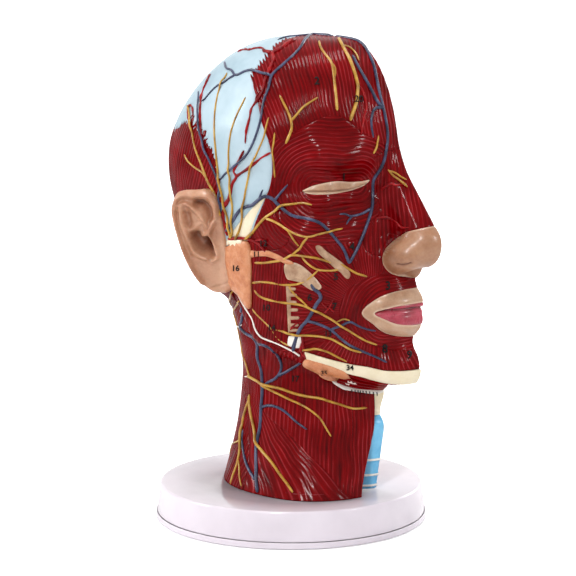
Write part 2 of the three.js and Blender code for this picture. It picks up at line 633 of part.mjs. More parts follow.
// Section side: pieces stand on a recessed plate, a little behind the cut face

const reliefBack = cutFaceRecess - seatGap;
const reliefHeight = reliefBack - sectionReliefGap;
const sectionSlab = solidOf(block([sectionReliefGap, -farSide, 0], [sectionFloor, farSide, crownHeight]));
const reliefRoom = sidePrism(fitRoomLine, sectionReliefGap, reliefBack).intersect(sectionSlab);

function sectionPlate() {
  const plate = sidePrism(fitRoomLine, cutFaceRecess, sectionFloor).intersect(sectionSlab);
  return plate.subtract(throatRoom(seatGap));
}

function throatRoom(clearance) {
  const back = windpipeShares.footForward * headSpan - windpipeRadius - windpipeRingRise - clearance;
  const wide = voiceBoxRadius + seatGap + clearance;
  const top = voiceBoxShares.top * headSpan + throatHeadroom + clearance;
  return solidOf(block([-overrun, back, belowFoot], [wide, throatFrontShare * headSpan, top]));
}

function footPlate() {
  const low = [sectionFloor + seatGap, -farSide, 0];
  const slab = solidOf(block(low, [farSide, farSide, footPlateThickness]));
  const sleeveTop = pegHeight + sleeveWall;
  let plate = fitHollow.intersect(slab).subtract(throatRoom(seatGap));
  const places = pegForwardShares.map((share) => [pegSideShare * headSpan, share * headSpan]);
  for (const [w, f] of places) {
    const outside = pegRadius + pegClearance + sleeveWall;
    const sleeve = rod(outside, footPlateThickness / 2, sleeveTop, 16).translate(w, f, 0);
    plate = plate.add(solidOf(sleeve));
  }
  for (const [w, f] of places) {
    const socket = rod(pegRadius + pegClearance, -overrun, pegHeight + pegClearance, 16).translate(w, f, 0);
    plate = plate.subtract(solidOf(socket));
  }
  return plate;
}

const braincaseShares = [[0.62, 2.31], [0.6, 2.48], [0.48, 2.67], [0.28, 2.8], [0, 2.85], [-0.3, 2.8],
  [-0.58, 2.66], [-0.8, 2.44], [-0.9, 2.19], [-0.86, 1.96], [-0.71, 1.8], [-0.45, 1.68], [-0.2, 1.64],
  [-0.05, 1.66], [0.06, 1.82], [0.16, 1.96], [0.3, 2.02], [0.46, 2.07], [0.58, 2.18]];
const skullBaseShares = [[1.2, 3.2], [1.2, 2.16], [0.8, 2.1], [0.66, 2.1], [0.42, 1.99], [0.34, 1.82],
  [0.12, 1.76], [0.02, 1.56], [-0.08, 1.58], [-0.2, 1.62], [-0.3, 1.56], [-0.72, 1.64], [-1.3, 1.7], [-1.3, 3.2]];

// Section pieces in order; each gives way to those before it
const sectionShares = [
  { name: "corpus_callosum", colour: 0xe9dcc4, sunkShare: 0.15,
    outline: [[0.3, 2.24], [0.37, 2.34], [0.34, 2.45], [0.2, 2.51], [0, 2.53], [-0.2, 2.51], [-0.36, 2.43],
      [-0.4, 2.34], [-0.33, 2.33], [-0.28, 2.4], [-0.1, 2.44], [0.1, 2.44], [0.25, 2.4], [0.28, 2.33]] },
  { name: "brain_stem", colour: 0xe4cdb2, sunkShare: 0.25,
    outline: [[0.2, 2.18], [0.12, 2.3], [-0.08, 2.35], [-0.26, 2.3], [-0.28, 2.2], [-0.2, 2.1], [-0.26, 2],
      [-0.28, 1.9], [-0.24, 1.78], [-0.22, 1.6], [-0.2, 1.52], [-0.07, 1.52], [-0.06, 1.64], [-0.02, 1.78],
      [0.03, 1.92], [0.02, 2.04], [0.12, 2.1]] },
  { name: "cerebellum", colour: 0xd9a58c, sunkShare: 0.12,
    outline: [[-0.3, 1.9], [-0.31, 2.06], [-0.48, 2.13], [-0.68, 2.07], [-0.83, 1.94], [-0.82, 1.83],
      [-0.68, 1.75], [-0.46, 1.71], [-0.32, 1.74]] },
  { name: "cerebrum", colour: 0xe3b09a, sunkShare: 0.06,
    outline: [[0.59, 2.3], [0.575, 2.46], [0.46, 2.64], [0.27, 2.77], [0, 2.82], [-0.3, 2.77], [-0.56, 2.63],
      [-0.77, 2.42], [-0.87, 2.2], [-0.83, 2.02], [-0.66, 2.12], [-0.46, 2.18], [-0.3, 2.16], [-0.1, 2.12],
      [0.1, 2.08], [0.3, 2.06], [0.5, 2.12]] },
  { name: "skull_section", colour: 0xf0e6c8, sunkShare: 0, straight: true, outline: skullBaseShares,
    hole: braincaseShares },
  { name: "nasal_wall", colour: 0xd67f86, sunkShare: 0.6,
    outline: [[0.95, 1.68], [0.84, 1.92], [0.74, 2.08], [0.45, 1.98], [0.32, 1.88], [0.24, 1.74], [0.25, 1.6],
      [0.5, 1.57], [0.86, 1.58]] },
  { name: "palate_and_upper_jaw", colour: 0xeadfc0, sunkShare: 0.18,
    outline: [[0.12, 1.4], [0.2, 1.53], [0.4, 1.545], [0.7, 1.55], [0.86, 1.54], [0.9, 1.45], [0.86, 1.34],
      [0.81, 1.34], [0.79, 1.43], [0.7, 1.48], [0.4, 1.48], [0.26, 1.47], [0.17, 1.36]] },
  { name: "tongue", colour: 0xcf5a62, sunkShare: 0.08,
    outline: [[0.76, 1.28], [0.68, 1.4], [0.5, 1.46], [0.32, 1.44], [0.2, 1.32], [0.16, 1.12], [0.24, 0.95],
      [0.46, 0.87], [0.64, 0.94], [0.68, 1.08], [0.74, 1.18]] },
  { name: "lower_jaw_section", colour: 0xeadfc0, sunkShare: 0.04,
    outline: [[0.8, 1.31], [0.84, 1.31], [0.87, 1.16], [0.89, 1], [0.87, 0.84], [0.78, 0.8], [0.71, 0.88],
      [0.73, 1.06], [0.78, 1.16]] },
  { name: "spinal_cord", colour: 0xf1e3b4, sunkShare: 0.3,
    outline: [[-0.09, 1.47], [-0.19, 1.47], [-0.23, 1.2], [-0.25, 0.8], [-0.25, 0.4], [-0.25, 0.06],
      [-0.17, 0.06], [-0.17, 0.4], [-0.16, 0.8], [-0.14, 1.2]] },
];

function sectionPieces() {
  const taken = [];
  const pieces = [];
  for (const { name, colour, sunkShare, straight, outline, hole } of sectionShares) {
    const line = straight ? straightLine(outline) : roundLine(outline, outline.length * 2);
    let piece = reliefRoom.intersect(sidePrism(line, sectionReliefGap + sunkShare * reliefHeight, reliefBack));
    if (hole) piece = piece.subtract(sidePrism(roundLine(hole, hole.length * 2), -overrun, farSide));
    for (const room of taken) piece = piece.subtract(room);
    taken.push(sidePrism(grown(line, seatGap), -overrun, farSide));
    pieces.push(meshOf(name, largest(piece), colour, 0.4));
  }
  return pieces;
}

// Neck bones in the section: a column of bodies with discs, and their spines behind the cord
const boneCount = 7;
const boneShares = { bottom: 0.06, top: 1.5, forward: 0, lean: 0.03, halfDepth: 0.085, disc: 0.035,
  discDepth: 0.065, spineFront: -0.3, spineLength: 0.2, spineHalfHeight: 0.035, spineDrop: 0.09, ligament: 0.03,
  bodySunk: 0.1, discSunk: 0.3, ligamentSunk: 0.4 };

function boxAt(forward, height, halfForward, halfHeight, sunkShare) {
  const [back, front] = spans([forward - halfForward, forward + halfForward]);
  const [foot, top] = spans([height - halfHeight, height + halfHeight]);
  return solidOf(block([sectionReliefGap + sunkShare * reliefHeight, back, foot], [reliefBack, front, top]));
}

function neckBones() {
  const pitch = (boneShares.top - boneShares.bottom) / boneCount;
  let column = null;
  for (let i = 0; i < boneCount; i++) {
    const height = boneShares.bottom + pitch * (i + 0.5);
    const forward = boneShares.forward + boneShares.lean * Math.sin((i / boneCount) * Math.PI);
    const halfHeight = (pitch - boneShares.disc) / 2;
    const body = boxAt(forward, height, boneShares.halfDepth, halfHeight, boneShares.bodySunk);
    column = column ? column.add(body) : body;
    if (i < boneCount - 1) {
      const between = height + pitch / 2;
      column = column.add(boxAt(forward, between, boneShares.discDepth, boneShares.disc, boneShares.discSunk));
    }
  }
  return reliefRoom.intersect(column);
}

function neckSpines() {
  const pitch = (boneShares.top - boneShares.bottom) / boneCount;
  const half = (boneShares.top - boneShares.bottom) / 2;
  const front = boneShares.spineFront;
  const middle = boneShares.bottom + half;
  let comb = boxAt(front, middle, boneShares.ligament / 2, half - pitch / 4, boneShares.ligamentSunk);
  for (let i = 0; i < boneCount; i++) {
    const height = boneShares.bottom + pitch * (i + 0.5);
    const line = straightLine([
      [front, height + boneShares.spineHalfHeight], [front, height - boneShares.spineHalfHeight],
      [front - boneShares.spineLength, height - boneShares.spineDrop - boneShares.spineHalfHeight / 2],
      [front - boneShares.spineLength, height - boneShares.spineDrop + boneShares.spineHalfHeight],
    ]);
    comb = comb.add(sidePrism(line, sectionReliefGap, reliefBack));
  }
  return reliefRoom.intersect(comb);
}

// Windpipe and voice box: half tubes at the cut face

function halfTube(radius, wall, from, to, forwardFrom, forwardTo) {
  const height = to - from;
  const side = (r) => {
    const bar = new THREE.CylinderGeometry(r, r, height + (r === radius ? 0 : overrun), 16);
    bar.rotateX(Math.PI / 2);
    const lean = new THREE.Matrix4().makeShear(0, 0, 0, 0, 0, (forwardTo - forwardFrom) / height);
    return solidOf(bar.applyMatrix4(lean).translate(0, (forwardFrom + forwardTo) / 2, (from + to) / 2));
  };
  const half = solidOf(block([throatClearance, -farSide, from], [farSide, farSide, to]));
  return side(radius).subtract(side(radius - wall)).intersect(half);
}

function windpipe() {
  const top = windpipeShares.top * headSpan;
  const foot = windpipeShares.footForward * headSpan;
  const forwardAt = (z) => foot + windpipeShares.lean * z;
  let tube = halfTube(windpipeRadius, windpipeWall, 0, top, forwardAt(0), forwardAt(top));
  for (let i = 0; i < windpipeRingCount; i++) {
    const z = ((i + 0.5) / windpipeRingCount) * top;
    const end = z + windpipeRingWidth;
    const outside = windpipeRadius + windpipeRingRise;
    tube = tube.add(halfTube(outside, windpipeWall, z, end, forwardAt(z), forwardAt(end)));
  }
  return tube;
}

function voiceBox() {
  const { bottom, top, forward } = voiceBoxShares;
  const place = forward * headSpan;
  return halfTube(voiceBoxRadius, windpipeWall, bottom * headSpan, top * headSpan, place, place);
}

// Ear: a flared plate with a rolled rim, seated on the side of the head
const earShares = { place: [0.735, -0.12, 1.66], rimFrom: 0.05, rimTo: 0.7 };
const earOutlineShares = [
  [0.01, -0.01], [-0.01, 0.14], [-0.03, 0.27], [-0.09, 0.33], [-0.18, 0.335], [-0.27, 0.28], [-0.32, 0.2],
  [-0.335, 0.12], [-0.33, 0.03], [-0.3, -0.12], [-0.23, -0.24], [-0.1, -0.335], [-0.02, -0.35], [0.02, -0.28],
  [0.03, -0.12],
];
const conchaShares = { centre: [0.03, -0.11, -0.02], size: [0.042, 0.09, 0.13] };
const earRootShares = { centre: [-0.03, -0.12, 0], size: [0.065, 0.12, 0.2] };

function ear(cordRooms) {
  const line = roundLine(earOutlineShares, 26);
  const middle = line.map((p) => new THREE.Vector3(earThickness / 2, p.x, p.y));
  const rim = new THREE.CatmullRomCurve3(middle, true);
  const span = earShares.rimTo - earShares.rimFrom;
  const path = line.map((_, i) => rim.getPointAt(earShares.rimFrom + (span * i) / line.length));
  const shell = sidePrism(grown(line, -earRimRadius / 2), 0, earThickness)
    .add(cord(new THREE.CatmullRomCurve3(path), earRimRadius, 22, 6))
    .add(solidOf(eggGeometry(earRootShares)))
    .subtract(solidOf(eggGeometry(conchaShares)));
  const pose = new THREE.Matrix4().makeRotationZ(earFlareAngle);
  pose.multiply(new THREE.Matrix4().makeRotationY(earTiltAngle)).setPosition(...spans(earShares.place));
  const seated = shell.transform(pose.elements).subtract(skinRoom(raisedRise + seatGap));
  return largest(cordRooms.reduce((left, room) => left.subtract(room), seated));
}

// The head's outer form, swollen, that pieces outside it are cut clear of
function skinRoom(rise) {
  return gridSolid(skinGrid(skinRows, skinColumns, rise), overrun);
}

// Cords: a tube along a curve
function cord(curve, radius, steps, sides) {
  const ring = Array.from({ length: sides }, (_, i) => {
    const turn = (i / sides) * 2 * Math.PI;
    return new THREE.Vector2(Math.cos(turn) * radius, Math.sin(turn) * radius);
  });
  const tube = { steps, extrudePath: curve, bevelEnabled: false };
  return solidOf(new THREE.ExtrudeGeometry(new THREE.Shape(ring), tube));
}

// A picture point's place on the skin: where its line of sight first meets the form

const viewBack = new THREE.Vector3(
  Math.sin(viewTurnAngle) * Math.cos(viewRiseAngle),
  Math.cos(viewTurnAngle) * Math.cos(viewRiseAngle),
  Math.sin(viewRiseAngle),
);
const viewRight = new THREE.Vector3(-Math.cos(viewTurnAngle), Math.sin(viewTurnAngle), 0);
const viewUp = viewBack.clone().cross(viewRight);
const viewEye = new THREE.Vector3(middlePlaneOffset, 0, viewShares.height * headSpan)
  .addScaledVector(viewRight, viewShares.shift * headSpan)
  .addScaledVector(viewBack, viewShares.distance * headSpan);

function onSkin([across, down]) {
  const way = viewBack.clone().negate()
    .addScaledVector(viewRight, (across - middlePixel) / lensPixels)
    .addScaledVector(viewUp, (middlePixel - down) / lensPixels)
    .normalize();
  let best = null;
  const step = sightStepShare * headSpan;
  for (let far = viewShares.nearest * headSpan; far < viewShares.farthest * headSpan; far += step) {
    const place = viewEye.clone().addScaledVector(way, far);
    const depth = headForm(place.toArray());
    if (!best || depth < best.depth) best = { place, depth };
    if (depth < 0) break;
  }
  return settled(best.place, 0).place;
}

// The nearest place on the form, moved out by a rise along the skin's normal
function settled(place, rise) {
  const spot = place.clone();
  const normal = new THREE.Vector3();
  for (let round = 0; round < 3; round++) {
    const h = softStepShare * headSpan;
    const slope = ["x", "y", "z"].map((axis) => {
      const [up, down] = [spot.clone(), spot.clone()];
      up[axis] += h;
      down[axis] -= h;
      return (headForm(up.toArray()) - headForm(down.toArray())) / (2 * h);
    });
    normal.set(...slope);
    const steep = normal.length();
    normal.normalize();
    spot.addScaledVector(normal, -headForm(spot.toArray()) / steep);
  }
  spot.x = Math.max(spot.x, veinRadius);
  return { place: spot.clone().addScaledVector(normal, rise), normal };
}

// A net of cords is joined into one solid; it passes over the cords laid before it
function cordNet(branches, radius, laid, clearOf) {
  const lines = branches.map((points) => {
    const curve = new THREE.CatmullRomCurve3(points.map(onSkin), false, "centripetal");
    const steps = Math.max(2, Math.ceil(curve.getLength() / cordStep));
    const spots = curve.getSpacedPoints(steps).map((place) => {
      const low = radius + seatGap + facetAllowanceShare * headSpan;
      const over = laid.reduce((most, { spot, top }) => {
        const near = THREE.MathUtils.smoothstep(spot.distanceTo(place), bridgeFull, bridgeEnd);
        return Math.max(most, (1 - near) * (top + seatGap + radius - low));
      }, 0);
      return { spot: place, rise: low + over, ...settled(place, low + over) };
    });
    return { spots, steps };
  });
  const tubes = (wide) => lines
    .map(({ spots, steps }) => {
      const curve = new THREE.CatmullRomCurve3(spots.map((s) => s.place), false, "centripetal");
      return cord(curve, wide, steps, cordSides);
    })
    .reduce((net, tube) => net.add(tube));
  const added = lines.flatMap(({ spots }) => spots.flatMap((s, i) => {
    const next = spots[i + 1];
    const here = { spot: s.spot, top: s.rise + radius };
    if (!next) return [here];
    const between = { spot: s.spot.clone().lerp(next.spot, 0.5), top: (s.rise + next.rise) / 2 + radius };
    return [here, between];
  }));
  return { solid: tubes(radius).subtract(clearOf), room: tubes(radius + 2 * seatGap), added };
}

// Routes as points of the picture: across, down
const veinRoutes = {
  temporal_vein: [
    [[314, 36], [299, 51], [284, 65], [272, 77], [267, 92], [261, 120], [256, 137], [248, 154], [234, 168],
      [221, 180]],
    [[272, 77], [259, 73], [246, 74], [236, 76], [225, 82], [213, 91], [203, 103]],
    [[236, 76], [231, 70], [226, 66]],
    [[221, 180], [219, 188]],
    [[199, 96], [200, 110], [201, 127], [207, 154], [215, 174], [221, 180]],
  ],
  face_vein: [
    [[347, 40], [360, 50], [369, 60], [374, 75], [378, 94], [384, 112], [387, 133], [386, 146], [383, 160],
      [377, 172], [373, 184], [373, 196], [371, 210], [366, 226], [360, 241], [354, 254], [348, 264]],
    [[354, 60], [362, 76], [370, 90], [376, 102], [382, 109]],
    [[382, 109], [374, 112], [371, 122], [372, 136]],
    [[228, 231], [234, 220], [242, 209], [256, 202], [266, 198], [276, 203], [287, 213], [304, 219], [320, 224],
      [330, 233], [338, 243], [344, 252], [348, 264]],
    [[371, 210], [362, 215], [350, 217], [340, 216]],
  ],
  facial_vein: [
    [[318, 290], [320, 296], [316, 306], [310, 318], [302, 328], [297, 341], [294, 352]],
    [[306, 322], [318, 324], [331, 330], [342, 340], [352, 347], [366, 354], [384, 363]],
    [[331, 330], [344, 325], [354, 325], [372, 331]],
  ],
  neck_vein: [
    [[242, 308], [242, 320], [243, 330], [253, 338], [258, 348], [259, 362], [263, 383], [262, 407],
      [260, 426], [257, 447], [257, 465], [257, 484]],
    [[257, 345], [270, 348], [279, 357], [281, 368], [275, 378], [261, 384]],
    [[275, 378], [288, 371], [300, 363]],
    [[262, 407], [274, 407], [286, 413], [296, 421], [307, 430]],
  ],
};
const arteryRoutes = {
  temporal_artery: [
    [[228, 235], [225, 220], [225, 206], [230, 195], [237, 180], [243, 166], [246, 150], [248, 134], [252, 112],
      [258, 101], [264, 89], [269, 72], [276, 56], [286, 45]],
    [[237, 178], [248, 170], [258, 162], [269, 154]],
    [[274, 58], [264, 51], [246, 51]],
  ],
};
const nerveRoutes = {
  temple_nerves: [
    [[228, 75], [221, 89], [217, 110], [215, 135], [217, 158], [220, 180], [224, 200], [229, 220], [232, 236]],
    [[246, 98], [238, 114], [232, 133], [229, 154], [230, 173], [232, 195], [232, 218], [232, 236]],
    [[269, 120], [264, 137], [257, 154], [251, 170], [247, 188], [244, 206], [240, 223], [232, 236]],
  ],
  occipital_nerve: [
    [[190, 108], [191, 123], [195, 142], [201, 162], [207, 178], [212, 190]],
    [[185, 155], [193, 166], [204, 172]],
  ],
  forehead_nerve_forked: [
    [[280, 96], [285, 110], [291, 121], [288, 132], [286, 144]],
    [[318, 98], [304, 108], [291, 121]],
  ],
  forehead_nerve_outer: [[[319, 44], [323, 54], [331, 64], [334, 79], [336, 97], [338, 112]]],
  forehead_nerve_inner: [[[336, 38], [342, 47], [350, 61], [356, 79], [357, 97], [354, 110], [350, 122]]],
  facial_nerve: [
    [[247, 240], [256, 230], [266, 219], [275, 212], [287, 206], [303, 205], [313, 207]],
    [[266, 219], [280, 225], [294, 233], [308, 237], [322, 234], [341, 229]],
    [[308, 237], [302, 246], [292, 255]],
    [[257, 263], [266, 263], [280, 260], [292, 255], [308, 257], [326, 261], [341, 265], [356, 273], [367, 277]],
    [[302, 256], [309, 265], [320, 270], [344, 269]],
    [[256, 284], [266, 282], [281, 285], [295, 285], [307, 280], [317, 271]],
    [[288, 285], [294, 294], [302, 302]],
    [[258, 292], [264, 298], [275, 302], [290, 304], [302, 306], [316, 311], [334, 321], [350, 331], [364, 340],
      [376, 344]],
  ],
  jaw_nerve: [
    [[273, 328], [285, 332], [298, 335], [314, 336], [330, 339], [342, 344], [352, 349]],
    [[253, 310], [262, 319], [271, 329], [280, 339], [288, 346]],
  ],
  throat_nerve: [
    [[248, 376], [263, 385], [280, 389], [300, 395], [322, 400], [340, 405], [360, 407]],
    [[263, 385], [280, 395], [299, 404], [314, 412], [324, 424], [331, 436]],
  ],
  collar_nerves: [
    [[250, 397], [252, 412], [255, 428], [260, 446], [270, 460], [281, 476], [290, 489]],
    [[250, 402], [245, 418], [243, 437], [240, 458], [235, 474], [231, 484]],
    [[243, 437], [236, 443], [229, 448]],
  ],
};

function cordNets() {
  const laid = [];
  const clearOf = skinRoom(seatGap);
  const kinds = [
    [veinRoutes, veinRadius, 0x4d5478],
    [arteryRoutes, arteryRadius, 0xb01724],
    [nerveRoutes, nerveRadius, 0xe0aa35],
  ];
  return kinds.flatMap(([routes, radius, colour]) => {
    const laidOver = ([name, branches]) => [name, cordNet(branches, radius, laid, clearOf)];
    const nets = Object.entries(routes).map(laidOver);
    nets.forEach(([, net]) => laid.push(...net.added));
    return nets.map(([name, { solid, room }]) => ({ mesh: meshOf(name, largest(solid), colour, 0.35), room }));
  });
}

// The whole model

function baseGroup() {
  const base = new THREE.Group();
  base.add(meshOf("base_tray", baseTray(), whiteColour, 0.3));
  base.add(meshOf("base_bottom_plate", basePlate(), whiteColour, 0.35));
  screwPlaces().forEach(([x, y], i) => {
    const screw = meshOf(`base_screw_${i + 1}`, solidOf(screwForm(0, screwHeadRecess / 2)), 0x9a9a9a, 0.3);
    screw.position.set(x, y, 0);
    base.add(screw);
  });
  pegPlaces().forEach(([x, y], i) => {
    const peg = meshOf(["locating_peg_front", "locating_peg_rear"][i], solidOf(pegForm()), whiteColour, 0.4);
    peg.position.set(x, y, 0);
    base.add(peg);
  });
  return base;
}

function headGroup() {
  const head = new THREE.Group();
  head.add(...skinPanels());
  const nets = cordNets();
  head.add(meshOf("ear", ear(nets.map(({ room }) => room)), fleshColour, 0.45));
  head.add(meshOf("section_plate", sectionPlate(), muscleColour, 0.4));
  head.add(meshOf("neck_foot_plate", footPlate(), muscleColour, 0.5));
  head.add(...sectionPieces());
  head.add(meshOf("neck_bones", neckBones(), boneColour, 0.4));
  head.add(meshOf("neck_bone_spines", neckSpines(), boneColour, 0.4));
  head.add(meshOf("windpipe", windpipe(), 0x4fa8d4, 0.35));
  head.add(meshOf("voice_box", voiceBox(), boneColour, 0.35));
  head.add(...nets.map(({ mesh }) => mesh));
  head.rotation.z = Math.PI;
  head.position.set(middlePlaneOffset, 0, baseHeight + seatGap);
  return head;
}

const model = new THREE.Group();
model.add(baseGroup(), headGroup());

export default model;
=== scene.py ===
import math

import bpy
import numpy as np
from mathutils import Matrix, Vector
from mathutils.bvhtree import BVHTree

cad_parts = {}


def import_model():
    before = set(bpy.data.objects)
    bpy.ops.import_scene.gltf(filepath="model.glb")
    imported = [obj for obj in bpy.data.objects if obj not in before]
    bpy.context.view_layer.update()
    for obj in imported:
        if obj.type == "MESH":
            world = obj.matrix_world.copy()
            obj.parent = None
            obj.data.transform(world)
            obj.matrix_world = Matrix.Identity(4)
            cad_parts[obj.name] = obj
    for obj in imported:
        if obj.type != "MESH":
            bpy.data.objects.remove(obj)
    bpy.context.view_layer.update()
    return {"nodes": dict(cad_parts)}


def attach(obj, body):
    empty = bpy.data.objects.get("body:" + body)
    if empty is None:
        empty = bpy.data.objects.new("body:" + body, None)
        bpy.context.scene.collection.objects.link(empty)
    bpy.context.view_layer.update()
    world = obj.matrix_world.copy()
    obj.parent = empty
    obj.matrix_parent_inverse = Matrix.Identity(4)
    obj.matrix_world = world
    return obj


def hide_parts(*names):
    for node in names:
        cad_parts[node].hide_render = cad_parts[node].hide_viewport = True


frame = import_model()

scene = bpy.context.scene
mm = 0.001

# Places are worked out in millimetres as (w, f, z): sideways from the cut face towards the ear, forward
# towards the face, and up from the table.
place = dict(cutFace=22.0, rise=0.3)


def world(p):
    p = np.asarray(p, float)
    return np.stack([place["cutFace"] - p[..., 0], -p[..., 1], p[..., 2] + place["rise"]], -1) * mm


# The form of the half head: height, front reach, back reach, half width, widest place, then how square
# the front and the back are.
headForm = dict(
    skull=[
        (321.5, 10, 4, .5, 2, 2.2, 2), (320.8, 27, 16, 19, 3, 2.2, 2), (318.4, 41.5, 33, 32, 2, 2.2, 2),
        (312, 51, 51, 46, 0, 2.25, 2), (302, 59.5, 67, 57.5, -2, 2.3, 2),
        (287, 67.5, 84, 67, -5, 2.3, 2.05), (267, 73.5, 98, 75, -7, 2.2, 2.15),
        (246, 76, 105, 78, -8, 1.95, 2.25), (222, 76, 103, 78, -6, 1.85, 2.35),
        (198, 81, 93, 75, -2, 1.9, 2.35), (172, 88, 77, 71, 4, 1.9, 2.2), (150, 89, 66, 67, 8, 1.85, 2.1),
        (128, 87, 56, 64, 10, 1.75, 2.1), (108, 85, 46, 60, 12, 1.75, 2.1), (92, 80, 36, 52, 16, 1.75, 2.1),
        (80, 70, 20, 40, 20, 1.75, 2.1)],
    neck=[
        (175, 40, 60, 58, -6, 2.1, 2.1), (150, 46, 58, 54, -4, 2.1, 2.1), (125, 50, 50, 50, 0, 2.1, 2.1),
        (105, 54, 46, 49, 3, 2.15, 2.1), (85, 58, 46, 50.5, 5, 2.2, 2.1), (60, 62, 49, 55, 7, 2.3, 2.1),
        (40, 66, 53, 61.5, 10, 2.45, 2.1), (24, 70, 56, 68, 12, 2.7, 2.1), (18, 71, 57, 69, 12, 2.7, 2.1)],
    socket=((35, 77, 230), (22, 20, 16), 12),
    swellings=[((52, 40, 203), (20, 26, 15), 16), ((30, 55, 249), (27, 13, 8), 12),
               ((36, 41, 229), (19, 16, 15), 7), ((0, 78, 111), (24, 17.5, 16), 8),
               ((0, 70, 150), (33, 24, 25), 10)],
    nose=dict(top=(0, 67, 243), tip=(0, 98, 192.5), topRadius=9.5, tipRadius=14.6, blend=10),
    nostrilWing=((14, 91.5, 185), (8.5, 12.5, 9), 8), septum=((0, 85, 178), (7, 11, 10), 3),
    upperLip=((0, 83, 153), (27, 14.6, 8)), lowerLip=((0, 82.5, 142), (25, 14.3, 7.5)), lipJoin=1.5,
    lipBlend=6,
    jaw=dict(chin=(84, 97), rise=.33, angle=(1, 127), steep=2, turn=14, round=9, skullBase=150,
             baseRound=10),
    crownRound=2, neckTop=176, neckRound=10, neckBlend=10,
    windpipe=dict(foot=45.5, lean=.17, leanHeight=41, radius=13.2, cover=.4, top=94, topRound=4, blend=3),
)


def smoothTable(rows, steps=24):
    p = np.asarray(rows, float)
    p = np.vstack([2 * p[0] - p[1], p, 2 * p[-1] - p[-2]])
    t = np.linspace(0, 1, steps, endpoint=False)[:, None]
    out = [0.5 * (2 * b + (c - a) * t + (2 * a - 5 * b + 4 * c - d) * t * t
                  + (3 * b - a - 3 * c + d) * t ** 3)
           for a, b, c, d in zip(p[:-3], p[1:-2], p[2:-1], p[3:])]
    table = np.vstack(out + [p[-2][None]])
    return table[np.argsort(table[:, 0], kind="stable")]


def lofted(w, f, z, table):
    front, back, half, widest, frontPower, backPower = (
        np.interp(z, table[:, 0], table[:, k]) for k in range(1, 7))
    ahead = f - widest
    reach = np.where(ahead > 0, np.maximum(front - widest, .5), np.maximum(widest + back, .5))
    half = np.maximum(half, .5)
    power = np.where(ahead > 0, frontPower, backPower)
    ratio = (np.abs(ahead / reach) ** power + np.abs(w / half) ** power) ** (1 / power)
    return (ratio - 1) * np.minimum(reach, half)


def softMin(a, b, blend):
    h = np.maximum(blend - np.abs(a - b), 0) / blend
    return np.minimum(a, b) - h * h * blend * .25


def softMax(a, b, blend):
    return -softMin(-a, -b, blend)


def eggDistance(w, f, z, centre, size):
    x, y, v = (w - centre[0]) / size[0], (f - centre[1]) / size[1], (z - centre[2]) / size[2]
    near = np.sqrt(x * x + y * y + v * v)
    steep = np.sqrt((x / size[0]) ** 2 + (y / size[1]) ** 2 + (v / size[2]) ** 2) + 1e-9
    return near * (near - 1) / steep


def noseDistance(w, f, z, nose):
    a, b = np.array(nose["top"], float), np.array(nose["tip"], float)
    off = np.stack([w - a[0], f - a[1], z - a[2]], -1)
    axis = b - a
    t = np.clip((off @ axis) / (axis @ axis), 0, 1)
    radius = nose["topRadius"] + (nose["tipRadius"] - nose["topRadius"]) * t
    return np.linalg.norm(off - t[..., None] * axis, axis=-1) - radius


skullTable, neckTable = smoothTable(headForm["skull"]), smoothTable(headForm["neck"])


def pipeMiddle(z):
    pipe = headForm["windpipe"]
    return pipe["foot"] + pipe["lean"] * np.clip(z - 24, 0, pipe["leanHeight"])


def formAt(w, f, z):
    h = headForm
    w = np.abs(w)
    d = softMax(lofted(w, f, z, skullTable), z - h["skull"][0][0], h["crownRound"])
    centre, size, blend = h["socket"]
    d = softMax(d, -eggDistance(w, f, z, centre, size), blend)
    for centre, size, blend in h["swellings"]:
        d = softMin(d, eggDistance(w, f, z, centre, size), blend)
    d = softMin(d, noseDistance(w, f, z, h["nose"]), h["nose"]["blend"])
    for centre, size, blend in (h["nostrilWing"], h["septum"]):
        d = softMin(d, eggDistance(w, f, z, centre, size), blend)
    lips = softMin(eggDistance(w, f, z, *h["upperLip"]), eggDistance(w, f, z, *h["lowerLip"]), h["lipJoin"])
    d = softMin(d, lips, h["lipBlend"])
    j = h["jaw"]
    shallow = j["chin"][1] + (j["chin"][0] - f) * j["rise"]
    steep = j["angle"][1] + (j["angle"][0] - f) * j["steep"]
    border = softMin(softMax(shallow, steep, j["turn"]), j["skullBase"] + 0 * z, j["baseRound"])
    slope = np.where(steep > j["skullBase"], 0, np.where(steep > shallow, j["steep"], j["rise"]))
    d = softMax(d, (border - z) / np.sqrt(1 + slope ** 2), j["round"])
    neck = softMax(lofted(w, f, z, neckTable), z - h["neckTop"], h["neckRound"])
    pipe = h["windpipe"]
    tube = np.hypot(w, f - pipeMiddle(z)) - pipe["radius"] - pipe["cover"]
    neck = softMin(neck, softMax(tube, z - pipe["top"], pipe["topRound"]), pipe["blend"])
    return softMin(d, neck, h["neckBlend"])


def formOf(p):
    return formAt(p[..., 0], p[..., 1], p[..., 2])


def slopeAt(p, step=.6):
    return np.stack([formOf(p + d) - formOf(p - d) for d in np.eye(3) * step], -1) / (2 * step)


def unit(v):
    return v / np.maximum(np.linalg.norm(v, axis=-1, keepdims=True), 1e-9)


def bell(far, width, power=2):
    return np.exp(-(far / width) ** power)


# Skin rays: level from the neck's foot up to the brow, then fanned out over the crown.
rays = dict(foot=24.0, fanHeight=252.0, forward=-8.0, settleFrom=60.0, settleLength=100.0, level=.68)


